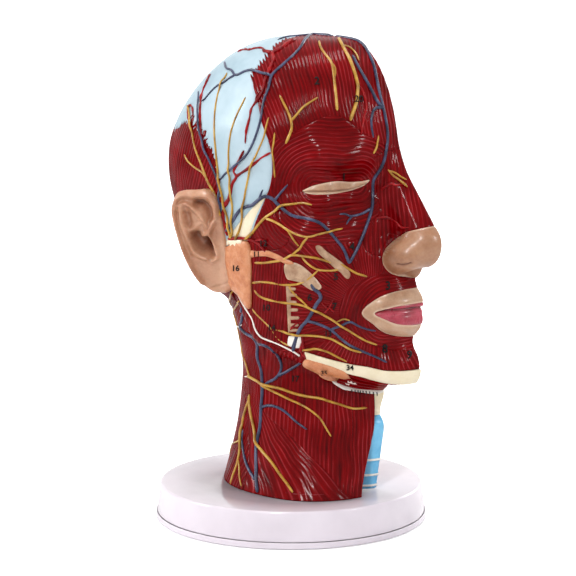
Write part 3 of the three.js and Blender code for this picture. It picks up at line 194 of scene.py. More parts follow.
def rayOf(row, column):
    row, column = np.broadcast_arrays(np.asarray(row, float), np.asarray(column, float))
    level = np.minimum(row / rays["level"], 1)
    fan = np.maximum(row - rays["level"], 0) / (1 - rays["level"]) * math.pi / 2
    z = rays["foot"] + level * (rays["fanHeight"] - rays["foot"])
    f = rays["forward"] * np.clip((z - rays["settleFrom"]) / rays["settleLength"], 0, 1)
    turn = column * math.pi
    start = np.stack([0 * z, f, z], -1)
    way = np.stack([np.sin(turn) * np.cos(fan), np.cos(turn) * np.cos(fan), np.sin(fan)], -1)
    return start, way


def hitsAlong(start, way, guess=None, span=7.0):
    def value(far):
        return formOf(start + way * far[..., None])

    if guess is None:
        found = np.full(way.shape[:-1], 15.0)
        for far in np.arange(134.0, 15.0, -2.0):
            inside = value(np.full(found.shape, far)) < 0
            found = np.where((found == 15.0) & inside, far, found)
        guess, span = found, 2.5
    low, high = guess - span, guess + span
    for _ in range(13):
        middle = (low + high) / 2
        inside = value(middle) < 0
        low, high = np.where(inside, middle, low), np.where(inside, high, middle)
    return low


coarse = dict(rows=230, columns=170)
coarseRow = np.linspace(0, 1, coarse["rows"])
coarseColumn = np.linspace(0, 1, coarse["columns"])
coarseStart, coarseWay = rayOf(coarseRow[:, None], coarseColumn[None])
coarseFar = hitsAlong(coarseStart, coarseWay)
coarsePoints = coarseStart + coarseWay * coarseFar[..., None]
print("head form:", coarsePoints.shape)


def gridFaces(rows, columns):
    i, j = np.meshgrid(np.arange(rows - 1), np.arange(columns - 1), indexing="ij")
    a = (i * columns + j).ravel()
    near, far = a + columns, a + columns + 1
    return np.concatenate([np.stack([a, far, a + 1], 1), np.stack([a, near, far], 1)])


patchSpan = dict(rows=370.0, columns=275.0)  # the skin's length along its rays' rows and columns


def skinPatch(rowFrom, rowTo, columnFrom, columnTo, spacing):
    # A grid of skin points over a window of rays, about as far apart as the spacing.
    # Seen from outside, its columns run from the front round to the ear side.
    rows = max(6, int((rowTo - rowFrom) * patchSpan["rows"] / spacing))
    columns = max(6, int((columnTo - columnFrom) * patchSpan["columns"] / spacing))
    row = np.linspace(rowFrom, rowTo, rows)
    column = np.linspace(columnFrom, columnTo, columns)
    start, way = rayOf(row[:, None], column[None])
    guess = np.stack([np.interp(column, coarseColumn, line) for line in coarseFar])
    guess = np.stack([np.interp(row, coarseRow, line) for line in guess.T], 1)
    far = hitsAlong(start, way, guess, 5.0)
    return (start + way * far[..., None]).reshape(-1, 3), gridFaces(rows, columns)


def compact(points, faces):
    used = np.unique(faces)
    lookup = np.zeros(len(points), int)
    lookup[used] = np.arange(len(used))
    return points[used], lookup[faces]


def clipMesh(points, faces, value):
    # Keeps what lies where the value is below nought, cut along its nought line.
    inside = value < 0
    count = inside[faces].sum(1)
    made, blocks, pairs = [faces[count == 3]], [], []
    for corners, loneCorner in ((1, np.argmax), (2, np.argmin)):
        block = faces[count == corners]
        if len(block):
            lone = loneCorner(inside[block], 1)
            block = np.stack([block[np.arange(len(block)), (lone + k) % 3] for k in range(3)], 1)
            blocks.append((corners, block))
            pairs += [(block[:, 0], block[:, 1]), (block[:, 0], block[:, 2])]
    if not pairs:
        return compact(points, made[0])
    low = np.concatenate([np.minimum(a, b) for a, b in pairs])
    high = np.concatenate([np.maximum(a, b) for a, b in pairs])
    key = low * (len(points) + 1) + high
    first, index = np.unique(key, return_index=True, return_inverse=True)[1:]
    a, b = low[first], high[first]
    share = value[a] / (value[a] - value[b])
    extra = points[a] + (points[b] - points[a]) * share[:, None]
    cuts = np.split(index.ravel() + len(points), np.cumsum([len(a) for a, _ in pairs])[:-1])
    for n, (corners, block) in enumerate(blocks):
        p, q = cuts[2 * n], cuts[2 * n + 1]
        if corners == 1:
            made.append(np.stack([block[:, 0], p, q], 1))
        else:
            made += [np.stack([p, block[:, 1], block[:, 2]], 1), np.stack([p, block[:, 2], q], 1)]
    return compact(np.vstack([points, extra]), np.vstack(made))
# Seeded lattice noise for shapes, between -1 and 1
noiseCells = 32
noiseLattice = np.random.default_rng(7).uniform(-1, 1, (noiseCells, noiseCells, noiseCells))


def noiseAt(p, size):
    q = np.asarray(p, float) / size
    cell = np.floor(q).astype(int)
    t = q - cell
    t = t * t * (3 - 2 * t)
    total = 0
    for corner in np.ndindex(2, 2, 2):
        share, at = np.where(corner, t, 1 - t), (cell + corner) % noiseCells
        weight = share[..., 0] * share[..., 1] * share[..., 2]
        total = total + weight * noiseLattice[at[..., 0], at[..., 1], at[..., 2]]
    return total


# Outlines
def roundLine(points, steps=6, closed=True):
    p = np.asarray(points, float)
    if not closed:
        p = np.vstack([2 * p[0] - p[1], p, 2 * p[-1] - p[-2]])
    n = len(p)
    out = []
    for i in range(n if closed else n - 3):
        a, b, c, d = (p[(i + k - (1 if closed else 0)) % n] for k in range(4))
        gaps = [max(math.sqrt(np.linalg.norm(y - x)), 1e-4) for x, y in ((a, b), (b, c), (c, d))]
        m1 = ((b - a) / gaps[0] - (c - a) / (gaps[0] + gaps[1]) + (c - b) / gaps[1]) * gaps[1]
        m2 = ((c - b) / gaps[1] - (d - b) / (gaps[1] + gaps[2]) + (d - c) / gaps[2]) * gaps[1]
        t = np.linspace(0, 1, steps, endpoint=False)[:, None]
        out.append(b + m1 * t + (3 * c - 3 * b - 2 * m1 - m2) * t ** 2 + (2 * b - 2 * c + m1 + m2) * t ** 3)
    if not closed:
        out.append(p[-2][None])
    return np.vstack(out)


def shareLine(shares):
    # shares of 100 mm, up from the neck's foot
    return np.array(shares) * 100 + [0, rays["foot"]]


def outlineDistance(line, a, b, reach=6.0):
    # Signed distance to a closed line, negative inside; far points just get a large value.
    line = np.asarray(line, float)
    low, high = line.min(0) - reach, line.max(0) + reach
    near = (a > low[0]) & (a < high[0]) & (b > low[1]) & (b < high[1])
    out = np.full(a.shape, reach * 2.0)
    x, y = a[near], b[near]
    best = np.full(x.shape, 1e9)
    odd = np.zeros(x.shape, bool)
    for (x0, y0), (x1, y1) in zip(line, np.roll(line, -1, 0)):
        ex, ey = x1 - x0, y1 - y0
        t = np.clip(((x - x0) * ex + (y - y0) * ey) / (ex * ex + ey * ey + 1e-12), 0, 1)
        best = np.minimum(best, (x - x0 - t * ex) ** 2 + (y - y0 - t * ey) ** 2)
        crosses = (y0 > y) != (y1 > y)
        if crosses.any():
            odd ^= crosses & (x < ex * (y - y0) / (ey if ey else 1e-12) + x0)
    best = np.sqrt(best)
    out[near] = np.where(odd, -best, best)
    return out


# The photograph's view
view = dict(azimuth=-45.0, elevation=9.4, distance=1600.0, height=154.8, shift=-2.0, lens=2399.0,
            middle=288.0)
viewA, viewE = math.radians(view["azimuth"]), math.radians(view["elevation"])
viewBack = np.array([math.sin(viewA) * math.cos(viewE), -math.cos(viewA) * math.cos(viewE),
                     math.sin(viewE)])
viewRight = np.array([math.cos(viewA), math.sin(viewA), 0.0])
viewUp = np.cross(viewBack, viewRight)
viewEye = np.array([0, 0, view["height"]]) + viewRight * view["shift"] + viewBack * view["distance"]


sightSteps = (1380.0, 1760.0, 1.5)  # from, to and step of the search along a line of sight


def localOf(p):
    return (p - [place["cutFace"], 0, 0]) * [-1, -1, 1]


def pictureOf(p):
    off = np.asarray(p, float) * [-1, -1, 1] + [place["cutFace"], 0, 0] - viewEye
    depth = -(off @ viewBack)
    return np.stack([view["middle"] + off @ viewRight / depth * view["lens"],
                     view["middle"] - off @ viewUp / depth * view["lens"]], -1)


def sightWay(spots):
    # Directions through picture points, as long as their depth is 1
    q = np.asarray(spots, float)
    return (-viewBack + viewRight * (q[:, :1] - view["middle"]) / view["lens"]
            + viewUp * (view["middle"] - q[:, 1:]) / view["lens"])


def sightHits(spots):
    # Where lines of sight through picture points first meet the skin, as (w, f, z)
    way = unit(sightWay(spots))
    far = np.arange(*sightSteps)
    local = localOf(viewEye + way[:, None] * far[None, :, None])
    value = formOf(local)
    hit = (value < 0).any(1)
    first = np.where(hit, np.argmax(value < 0, 1), np.argmin(value, 1))
    rows = np.arange(len(way))
    near, beyond = local[rows, np.maximum(first - 1, 0)], local[rows, first]
    for _ in range(9):
        middle = (near + beyond) / 2
        inside = (formOf(middle) < 0)[:, None]
        near, beyond = np.where(inside, near, middle), np.where(inside, middle, beyond)
    return np.where(hit[:, None], beyond, settle(local[rows, first])[0])


def settle(p, rise=0.0):
    p = np.array(p, float)
    for _ in range(3):
        slope = slopeAt(p)
        steep = np.linalg.norm(slope, axis=-1, keepdims=True)
        normal = slope / np.maximum(steep, 1e-6)
        p = p - normal * formOf(p)[..., None] / np.maximum(steep, .3)
    p[..., 0] = np.maximum(p[..., 0], 0)
    return p + normal * rise, normal


# Fibre directions: each gives how far a place lies across and along the fibres, in millimetres
pictureScale = .67  # millimetres on the model for a picture point


def segmentDistance(x, y, a, b):
    ex, ey = b[0] - a[0], b[1] - a[1]
    t = np.clip(((x - a[0]) * ex + (y - a[1]) * ey) / (ex * ex + ey * ey), 0, 1)
    return np.hypot(x - a[0] - t * ex, y - a[1] - t * ey)


def lineDistance(line, x, y):
    points = roundLine(line, 5, closed=False)
    far = np.full(np.shape(x), 1e9)
    for a, b in zip(points[:-1], points[1:]):
        far = np.minimum(far, segmentDistance(x, y, a, b))
    return far


def fanFrom(pivot, reach):
    def fibres(p):
        q = pictureOf(p) - pivot
        return np.arctan2(q[..., 0], -q[..., 1]) * reach, np.hypot(q[..., 0], q[..., 1]) * pictureScale
    return fibres


def eyeRings(p):
    across = (p[..., 0] - 37) * .75 - (p[..., 1] - 54) * .66
    up = p[..., 2] - 229
    d = segmentDistance(across, up * .92, (-15, 0), (13, 0))
    return d, np.arctan2(up, across) * 40


def lipRings(p):
    turn = np.arctan2(p[..., 0], p[..., 1] - 50) * 46
    up = p[..., 2] - 148 + turn * .04
    d = segmentDistance(turn, up, (0, 0), (24, 0))
    return d, np.arctan2(up, turn - 24) * 30


def neckFlow(p):
    q = pictureOf(p)
    left = np.interp(q[..., 1], [280, 320, 345, 380, 410, 450, 500], [222, 228, 238, 243, 238, 224, 212])
    right = np.interp(q[..., 1], [280, 320, 345, 380, 405, 440, 500], [250, 258, 263, 268, 274, 306, 372])
    return (q[..., 0] - left) / (right - left) * 44, q[..., 1] * pictureScale


def napeFlow(p):
    turn = np.arctan2(p[..., 0], p[..., 1] - 5)
    return turn * 62 + (p[..., 2] - 100) * .28, p[..., 2]


def occiputFan(p):
    turn = np.arctan2(p[..., 0], p[..., 1] + 8) * 85 - 205
    up = p[..., 2] - 130
    return np.arctan2(turn, up) * 85, np.hypot(turn, up)


def slanted(slope):
    def fibres(p):
        q = pictureOf(p) * pictureScale
        return (q[..., 0] + q[..., 1] * slope) / math.hypot(1, slope), q[..., 1]
    return fibres


def spikes(across, width, seed):
    cell = np.floor(across / width).astype(int)
    part = across / width - cell
    heights = np.random.default_rng(seed).uniform(.35, 1, 512)[cell % 512]
    return np.clip(1 - np.abs(2 * part - 1), 0, 1) ** 1.1 * heights


# Each panel of the skin: CAD node, outline in shares of 100 mm, finish and fibres. A panel takes only what
# those before it left. A kept one lies thinly on its CAD solid, and the others are thick shells that stand
# for theirs.
panelShape = dict(lift=.45, under=-4.2, keptUnder=-.35, edgeDrop=.5, edgeWidth=.75, raised=1.25, sharp=3,
                  rimWidth=.9, wander=14, bundle=.28, bundleSize=(6, 40), paintPitch=2.3, pillowWidth=3.0,
                  lumps=((.35, 3.2), (.2, 1.6)), slopeStep=.3)
kept = ["mandible_edge", "nape_muscle"]
muscle = dict(finish="muscle", spacing=.5, groove=.26, ridge=2.3, edgeDrop=.3)
panels = [
    dict(node="eyelids", finish="paleFlesh", spacing=.36, front=True, picture=[
        (302.4, 192), (308, 188.4), (313, 186.3), (325, 183.3), (337, 181.7), (351, 182.4), (362, 181.6),
        (369.5, 180.2), (366.5, 184.4), (355, 189.6), (340, 193.2), (325, 195), (310, 194.6)],
        outline=[(0, 0), (1, 0), (1, 1)]),
    dict(node="temple_bone", finish="bone", spacing=.7, straight=True, outline=[
        (.27, 2.01), (.12, 1.69), (-.08, 1.67), (.1, 1.84)]),
    dict(node="parotid_gland", finish="gland", spacing=.5, raised=True, pillow=1.6, outline=[
        (-.03, 1.65), (.12, 1.68), (.13, 1.54), (.11, 1.4), (.07, 1.23), (-.03, 1.31), (-.1, 1.36),
        (-.11, 1.5), (-.09, 1.61)]),
    dict(node="buccal_fat_pad", finish="fat", spacing=.5, pillow=1.4, outline=[
        (.37, 1.55), (.44, 1.57), (.5, 1.53), (.58, 1.41), (.53, 1.39), (.45, 1.44), (.38, 1.46)]),
    dict(node="submandibular_gland", finish="gland", spacing=.5, raised=True, pillow=1.6, under=-2,
         outline=[
             (.45, .93), (.5, .92), (.55, .905), (.605, .882), (.65, .852), (.645, .818), (.58, .786),
             (.506, .756), (.46, .75), (.42, .768), (.395, .8), (.385, .845), (.41, .895)]),
    dict(node="mandible_edge", finish="bone", spacing=.6, raised=True, straight=True, outline=[
        (.445, .978), (.56, .94), (.7, .895), (.85, .865), (1.3, .84), (1.3, .765), (.9, .775), (.75, .81),
        (.62, .86), (.455, .925)]),
    dict(node="lips", finish="lip", spacing=.4, pillow=.9, edgeDrop=.2, crease="mouth", outline=[
        (.835, 1.245), (.9, 1.278), (.97, 1.298), (1.05, 1.305), (1.3, 1.3), (1.3, 1.145), (1.04, 1.145),
        (.96, 1.16), (.89, 1.2)]),
    dict(node="lip_surround", finish="paleFlesh", spacing=.5, pillow=.7, outline=[
        (.77, 1.245), (.83, 1.33), (.92, 1.39), (1.3, 1.41), (1.3, 1.07), (.9, 1.07), (.82, 1.17)]),
    dict(node="nose_tip", finish="shadedNoseFlesh", spacing=.45, pillow=.7, crease="nostril", outline=[
        (.835, 1.64), (.89, 1.73), (1.02, 1.79), (1.3, 1.83), (1.3, 1.42), (.97, 1.44), (.88, 1.475),
        (.835, 1.55)]),
    dict(muscle, node="nose_muscle", groove=.07, ridge=3, fibres=fanFrom((372, -40), 190), outline=[
        (.755, 2.27), (.72, 2.14), (.7, 2.02), (.75, 1.88), (.73, 1.76), (.78, 1.62), (1.3, 1.62),
        (1.3, 2.3)]),
    dict(muscle, node="eye_ring_muscle", fibres=eyeRings, outline=[
        (.6, 2.51), (.7, 2.4), (.76, 2.27), (.8, 2.1), (.8, 1.9), (.74, 1.74), (.65, 1.69), (.52, 1.73),
        (.43, 1.81), (.34, 1.95), (.3, 2.1), (.35, 2.29), (.46, 2.43)]),
    dict(muscle, node="mouth_ring_muscle", fibres=lipRings, outline=[
        (.92, 1.5), (.8, 1.48), (.71, 1.4), (.66, 1.25), (.69, 1.09), (.8, 1.01), (1, .98), (1.3, .98),
        (1.3, 1.5)]),
    dict(muscle, node="masseter_muscle", ridge=2, fibres=slanted(.06), pillow=.7, outline=[
        (.02, 1.72), (.2, 1.68), (.37, 1.56), (.38, 1.32), (.35, 1.1), (.33, .985), (.2, 1.02), (.1, 1.1),
        (.04, 1.2), (.02, 1.4)]),
    dict(muscle, node="occipital_muscle", fibres=occiputFan, spacing=.65, outline=[
        (-.1, 1.76), (-.11, 1.95), (-.12, 2.12), (-.19, 2.24), (-.3, 2.34), (-.46, 2.41), (-.66, 2.35),
        (-.9, 2.27), (-1.3, 2.22), (-1.3, 1.72), (-.6, 1.7), (-.3, 1.69)]),
    dict(node="scalp_aponeurosis", finish="aponeurosis", spacing=.8, outline=[
        (-.15, 3.3), (.02, 2.94), (.07, 2.84), (.04, 2.77), (.07, 2.69), (.15, 2.59), (.22, 2.46),
        (.28, 2.34), (.3, 2.18), (.27, 2.01), (.1, 1.66), (-.05, 1.6), (-.3, 1.9), (-1.3, 1.9),
        (-1.4, 3.2)]),
    dict(muscle, node="temporal_muscle", fibres=eyeRings, outline=[
        (.1, 1.68), (.22, 1.86), (.25, 2.05), (.24, 2.3), (.3, 2.36), (.4, 2.34), (.5, 2.3), (.5, 1.9),
        (.46, 1.72), (.3, 1.64)]),
    dict(muscle, node="frontal_muscle", fibres=fanFrom((428, 499), 270), outline=[
        (-.3, 3.4), (-.2, 2.6), (.1, 2.3), (.5, 2.2), (1.3, 2.2), (1.2, 3.3)]),
    dict(muscle, node="chin_muscle", fibres=fanFrom((376, 290), 46), outline=[
        (.36, .95), (.46, 1.02), (.58, 1.06), (.72, 1.1), (1.3, 1.1), (1.3, .8), (.7, .84)]),
    dict(muscle, node="cheek_muscles", fibres=fanFrom((374, 314), 46), outline=[
        (0, 1.74), (.3, 1.9), (.6, 2), (.9, 1.8), (.95, 1.4), (.8, 1.05), (.5, .97), (.28, .97),
        (.1, 1.1)]),
    dict(muscle, node="throat_muscles", ridge=2, spacing=.6, under=-.5, fibres=fanFrom((352, -900), 640),
         outline=[
             (.02, 1.3), (-.03, .9), (.02, .55), (.3, .38), (.52, .2), (.74, -.05), (1.2, -.1), (1.3, 1.3),
             (.6, 1.4)]),
    dict(muscle, node="neck_side_muscle", ridge=2.2, spacing=.62, under=-.5, fibres=neckFlow, outline=[
        (-.55, 1.5), (-.38, 1.1), (-.2, .6), (-.02, .2), (.05, -.1), (.9, -.1), (.9, .3), (.3, 1.2),
        (.1, 1.8)]),
    dict(muscle, node="nape_muscle", spacing=.85, ridge=3.4, groove=.3, fibres=napeFlow, outline=None),
]
# The throat's opening: its half width at a few heights, where it starts and how high it reaches
throatRoom = dict(
    halfWidths=[(24, 25.1), (30, 22.9), (42.5, 16.7), (54.9, 10.4), (62, 8.6), (68.6, 8), (81, 7.7),
                (94, 8.2)],
    wall=13.4, back=33.1, top=95.0)
for panel in panels:
    if panel["outline"] is not None:
        line = shareLine(panel["outline"])
        if "picture" in panel:
            line = sightHits(panel["picture"])[:, [0, 2]]
        panel["line"] = line if panel.get("straight") else roundLine(line)


def roomHalf(z):
    return np.interp(z, *np.transpose(throatRoom["halfWidths"]))


def ownValue(panel, p):
    name = panel["node"]
    if panel["outline"] is None:
        return np.full(p.shape[:-1], -20.0)
    if panel.get("front"):
        value = outlineDistance(panel["line"], p[..., 0], p[..., 2])
        return np.where(p[..., 1] > 20, value, 12.0)
    value = outlineDistance(panel["line"], p[..., 1], p[..., 2], 9.0)
    if name == "occipital_muscle":
        across = occiputFan(p)[0]
        torn = 7 * spikes(across + 1.5 * noiseAt(p, 3), 2.6, 3) + 3 * noiseAt(p + 9, 4.5)
        value = value - torn * np.clip((p[..., 2] - 215) / 12, 0, 1) * (p[..., 1] < -8)
    if name == "scalp_aponeurosis":
        across = fanFrom((428, 499), 270)(p)[0]
        front = np.clip((p[..., 2] - 293) / 5, 0, 1) * (p[..., 1] > -30)
        value = value + 6.0 * spikes(across, 2.0, 5) * front
    return value


def panelValue(index, p):
    # Below nought on the panel; nought on its border
    value = ownValue(panels[index], p)
    for before in panels[:index]:
        if before["outline"] is None:
            continue
        low, high = before["line"].min(0) - 10, before["line"].max(0) + 10
        side = 0 if before.get("front") else 1
        if p[..., side].max() < low[0] or p[..., side].min() > high[0]:
            continue
        if p[..., 2].max() < low[1] or p[..., 2].min() > high[1]:
            continue
        value = np.maximum(value, -ownValue(before, p))
    if panels[index]["node"] in ("throat_muscles", "neck_side_muscle"):
        room = np.maximum(np.maximum(p[..., 0] - roomHalf(p[..., 2]), throatRoom["back"] - p[..., 1]),
                          p[..., 2] - throatRoom["top"])
        value = np.maximum(value, -room)
    return value


def newMesh(name, points, faces, attributes=None):
    mesh = bpy.data.meshes.new(name)
    mesh.vertices.add(len(points))
    mesh.vertices.foreach_set("co", np.asarray(points, np.float32).ravel())
    faces = np.asarray(faces, np.int32)
    mesh.loops.add(faces.size)
    mesh.loops.foreach_set("vertex_index", faces.ravel())
    mesh.polygons.add(len(faces))
    mesh.polygons.foreach_set("loop_start", np.arange(0, faces.size, faces.shape[1], dtype=np.int32))
    mesh.polygons.foreach_set("use_smooth", np.ones(len(faces), bool))
    mesh.update(calc_edges=True)
    for key, values in (attributes or {}).items():
        mesh.attributes.new(key, "FLOAT", "POINT").data.foreach_set("value", np.asarray(values, np.float32))
    piece = bpy.data.objects.new(name, mesh)
    scene.collection.objects.link(piece)
    return piece


def shellFaces(faces, count):
    # Closes an open sheet with its copy underneath and a wall round its borders
    edges = np.concatenate([faces[:, [0, 1]], faces[:, [1, 2]], faces[:, [2, 0]]])
    key = np.sort(edges, 1)
    key = key[:, 0] * (count + 1) + key[:, 1]
    _, first, times = np.unique(key, return_index=True, return_counts=True)
    rim = edges[first[times == 1]]
    a, b = rim[:, 0], rim[:, 1]
    walls = np.concatenate([np.stack([b, a, a + count], 1), np.stack([b, a + count, b + count], 1)])
    return np.vstack([faces, faces[:, ::-1] + count, walls])


def finished(piece, finish, body="head", replaces=()):
    piece.data.materials.clear()
    piece.data.materials.append(materials[finish])
    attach(piece, body)
    if replaces:
        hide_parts(*replaces)
    return piece


def solidsTree():
    points, faces, start = [], [], 0
    for name in kept:
        mesh = frame["nodes"][name].data
        mesh.calc_loop_triangles()
        points += [v.co.copy() for v in mesh.vertices]
        faces += [[k + start for k in t.vertices] for t in mesh.loop_triangles]
        start = len(points)
    return BVHTree.FromPolygons(points, faces)


def clearance(tree, points, normal, faces):
    # how far the flat-sided solid underneath stands proud of the smooth skin, smoothed over the piece
    reach = 4.0
    starts, ways = world(points + normal * reach), world(-normal) - world(0 * normal)
    proud = np.zeros(len(points))
    for i, (start, way) in enumerate(zip(starts, ways)):
        far = tree.ray_cast(Vector(start), Vector(way), 2 * reach * mm)[3]
        if far is not None:
            proud[i] = max(0, reach - far / mm)
    edges = np.concatenate([faces[:, [0, 1]], faces[:, [1, 2]], faces[:, [2, 0]]])
    for _ in range(8):
        total, times = proud.copy(), np.ones(len(points))
        np.add.at(total, edges[:, 0], proud[edges[:, 1]])
        np.add.at(times, edges[:, 0], 1)
        proud = total / times
    return proud


def coatPiece(index):
    panel = panels[index]
    inside = panelValue(index, coarsePoints) < (7 if panel["node"] == "scalp_aponeurosis" else 1.5)
    rows, columns = np.where(inside.any(1))[0], np.where(inside.any(0))[0]
    window = [coarseRow[max(rows[0] - 1, 0)], coarseRow[min(rows[-1] + 1, coarse["rows"] - 1)],
              coarseColumn[max(columns[0] - 1, 0)],
              coarseColumn[min(columns[-1] + 1, coarse["columns"] - 1)]]
    points, faces = skinPatch(*window, panel["spacing"])
    points, faces = clipMesh(points, faces, panelValue(index, points))
    normal = unit(slopeAt(points))
    # how far each point lies from the panel's border along the skin, which leans from the side view
    shape, value = panelShape, panelValue(index, points)
    sideways = [(panelValue(index, points + s) - panelValue(index, points - s)) / (2 * shape["slopeStep"])
                for s in np.eye(3)[1:] * shape["slopeStep"]]
    lean = np.sqrt(np.clip(1 - (sideways[0] * normal[:, 1] + sideways[1] * normal[:, 2]) ** 2, .06, 1))
    edge = np.clip(-value / lean, 0, 12)
    height = np.full(len(points), shape["lift"]) + (shape["raised"] if panel.get("raised") else 0)
    height += panel.get("pillow", 0) * (1 - np.exp(-edge / shape["pillowWidth"]))
    across = along = np.zeros(len(points))
    if "fibres" in panel:
        across, along = panel["fibres"](points)
        across = across + noiseAt(points, shape["wander"])
        ridge = np.abs(np.cos(math.pi * across / panel["ridge"])) ** shape["sharp"]
        strength = panel["groove"] * (.75 + .5 * noiseAt(points + 40, 9)) * np.clip(edge / 2, .3, 1)
        wide, long = shape["bundleSize"]
        bundle = noiseAt(np.stack([across / wide, along / long, along * 0], -1), 1.0)
        height += strength * (ridge - .4) + shape["bundle"] * bundle
        across = across * shape["paintPitch"] / panel["ridge"]
    elif panel["finish"] in ("gland", "fat"):
        height += sum(rise * noiseAt(points, size) for rise, size in shape["lumps"])
    drop = 0 if panel.get("raised") else panel.get("edgeDrop", shape["edgeDrop"])
    height -= drop * bell(edge, shape["edgeWidth"])
    hollowShade = np.zeros(len(points))
    if "crease" in panel:
        line, deep, wide = pictureGrooves[panel["crease"]]
        groove = bell(lineDistance(line, *pictureOf(points).T), wide)
        height -= deep * groove
        # painted shade along the crease
        hollowShade = 1.7 * groove ** 3
    if panel["node"] == "eyelids":
        height, hollowShade = eyelidHeight(points, edge)
    isKept = panel["node"] in kept
    if isKept:
        raised = shape["raised"] if panel.get("raised") else 0
        height += np.maximum(clearance(solids, points, normal, faces) - raised, 0) * 1.1
    outer = points + normal * height[:, None]
    inner = points + normal * (shape["keptUnder"] if isKept else panel.get("under", shape["under"]))
    for sheet in (outer, inner):
        sheet[:, 0] = np.where(points[:, 0] < .02, -.05, sheet[:, 0])
    values = dict(across=across, along=along, hollowShade=hollowShade, rim=bell(edge, shape["rimWidth"]))
    piece = newMesh(panel["node"] + "_surface", world(np.vstack([outer, inner])),
                    shellFaces(faces, len(points)), {key: np.tile(v, 2) for key, v in values.items()})
    return finished(piece, panel["finish"], replaces=() if isKept else (panel["node"],))


# grooves drawn in the picture: line, depth and half width
pictureGrooves = dict(
    mouth=([(373, 312), (380, 311.7), (390, 311.5), (400, 310.8), (410, 309.6), (424, 308)], 2.5, 1.8),
    nostril=([(397.5, 264.2), (402, 264.8), (407, 264.4), (411, 263)], 1.5, 1.2),
)
eyelidShape = dict(
    rise=.5, bulge=1.1,
    foldLine=[(333, 189.6), (345, 189), (357, 186.4), (367, 182.4)], fold=.55, foldWidth=1.0,
    slit=[(303, 192.6), (315, 192), (330, 191.6), (343, 190.9), (355, 188.4), (366, 184)],
    slitDepth=1.3, slitWidth=.75,
)


def eyelidHeight(points, edge):
    # closed lids: a fold line over a narrow slit; the slit also carries painted shade
    e, (x, y) = eyelidShape, pictureOf(points).T
    fold = bell(lineDistance(e["foldLine"], x, y), e["foldWidth"])
    slit = bell(lineDistance(e["slit"], x, y), e["slitWidth"])
    rise = e["rise"] + e["bulge"] * (1 - np.exp(-edge / 1.5)) + e["fold"] * fold - e["slitDepth"] * slit
    return rise, slit * .9


# Materials
def colourOf(r, g, b):
    return tuple((c / 255 / 12.92) if c < 11 else ((c / 255 + .055) / 1.055) ** 2.4
                 for c in (r, g, b)) + (1.0,)


def addNode(tree, kind, inputs=None, **settings):
    node = tree.nodes.new(kind)
    for key, value in settings.items():
        setattr(node, key, value)
    for key, value in (inputs or {}).items():
        if isinstance(value, bpy.types.NodeSocket):
            tree.links.new(value, node.inputs[key])
        else:
            node.inputs[key].default_value = value
    return node


def calc(tree, operation, *values, clamp=False):
    inputs = dict(enumerate(values))
    return addNode(tree, "ShaderNodeMath", inputs, operation=operation, use_clamp=clamp).outputs[0]


def attribute(tree, name):
    return addNode(tree, "ShaderNodeAttribute", attribute_name=name).outputs["Fac"]


def noise(tree, spot, scale, detail=2.0, **more):
    return addNode(tree, "ShaderNodeTexNoise", {"Vector": spot, "Scale": scale, "Detail": detail,
                                                **more}).outputs["Fac"]


def spread(tree, value, low, high, toLow, toHigh):
    inputs = {"Value": value, "From Min": low, "From Max": high, "To Min": toLow, "To Max": toHigh}
    return addNode(tree, "ShaderNodeMapRange", inputs).outputs["Result"]


def mixed(tree, share, first, second, blend="MIX"):
    node = addNode(tree, "ShaderNodeMix", {"Factor": share}, data_type="RGBA", blend_type=blend)
    for key, tone in (("A", first), ("B", second)):
        if isinstance(tone, bpy.types.NodeSocket):
            tree.links.new(tone, node.inputs[key])
        else:
            node.inputs[key].default_value = tone
    return node.outputs["Result"]


def ramp(tree, value, stops):
    node = addNode(tree, "ShaderNodeValToRGB", {"Fac": value})
    while len(node.color_ramp.elements) < len(stops):
        node.color_ramp.elements.new(.5)
    for element, (at, tone) in zip(node.color_ramp.elements, stops):
        element.position = at
        element.color = colourOf(*tone)
    return node.outputs["Color"]


def toneStops(tones, first, span):
    return [(first + span * i / (len(tones) - 1), tone) for i, tone in enumerate(tones)]


def groupTree(name, inputs, outputs):
    tree = bpy.data.node_groups.new(name, "ShaderNodeTree")
    for key, value in inputs.items():
        tree.interface.new_socket(key, in_out="INPUT", socket_type="NodeSocketFloat").default_value = value
    for key in outputs:
        tree.interface.new_socket(key, in_out="OUTPUT", socket_type="NodeSocketFloat")
    return tree, tree.nodes.new("NodeGroupInput").outputs, tree.nodes.new("NodeGroupOutput").inputs


def placeGroup(tree, group, **values):
    return addNode(tree, "ShaderNodeGroup", values, node_tree=group).outputs


# Brushed paint: broad clouds, fine specks and brush drags along the height
brushedPaint, given, put = groupTree("brushedPaint", {"Size": .012, "Drag": 3.0},
                                     ["Broad", "Fine", "Drags"])
spot = addNode(brushedPaint, "ShaderNodeTexCoord").outputs["Object"]
perSize = calc(brushedPaint, "DIVIDE", 1.0, given["Size"])
flattened = addNode(brushedPaint, "ShaderNodeVectorMath", {0: spot, 1: (1.0, 1.0, .25)},
                    operation="MULTIPLY")
for key, value in (
        ("Broad", noise(brushedPaint, spot, perSize, 3.0)),
        ("Fine", noise(brushedPaint, spot, calc(brushedPaint, "MULTIPLY", perSize, 11.0))),
        ("Drags", noise(brushedPaint, flattened.outputs[0],
                        calc(brushedPaint, "MULTIPLY", perSize, given["Drag"]), Distortion=.4))):
    brushedPaint.links.new(value, put[key])

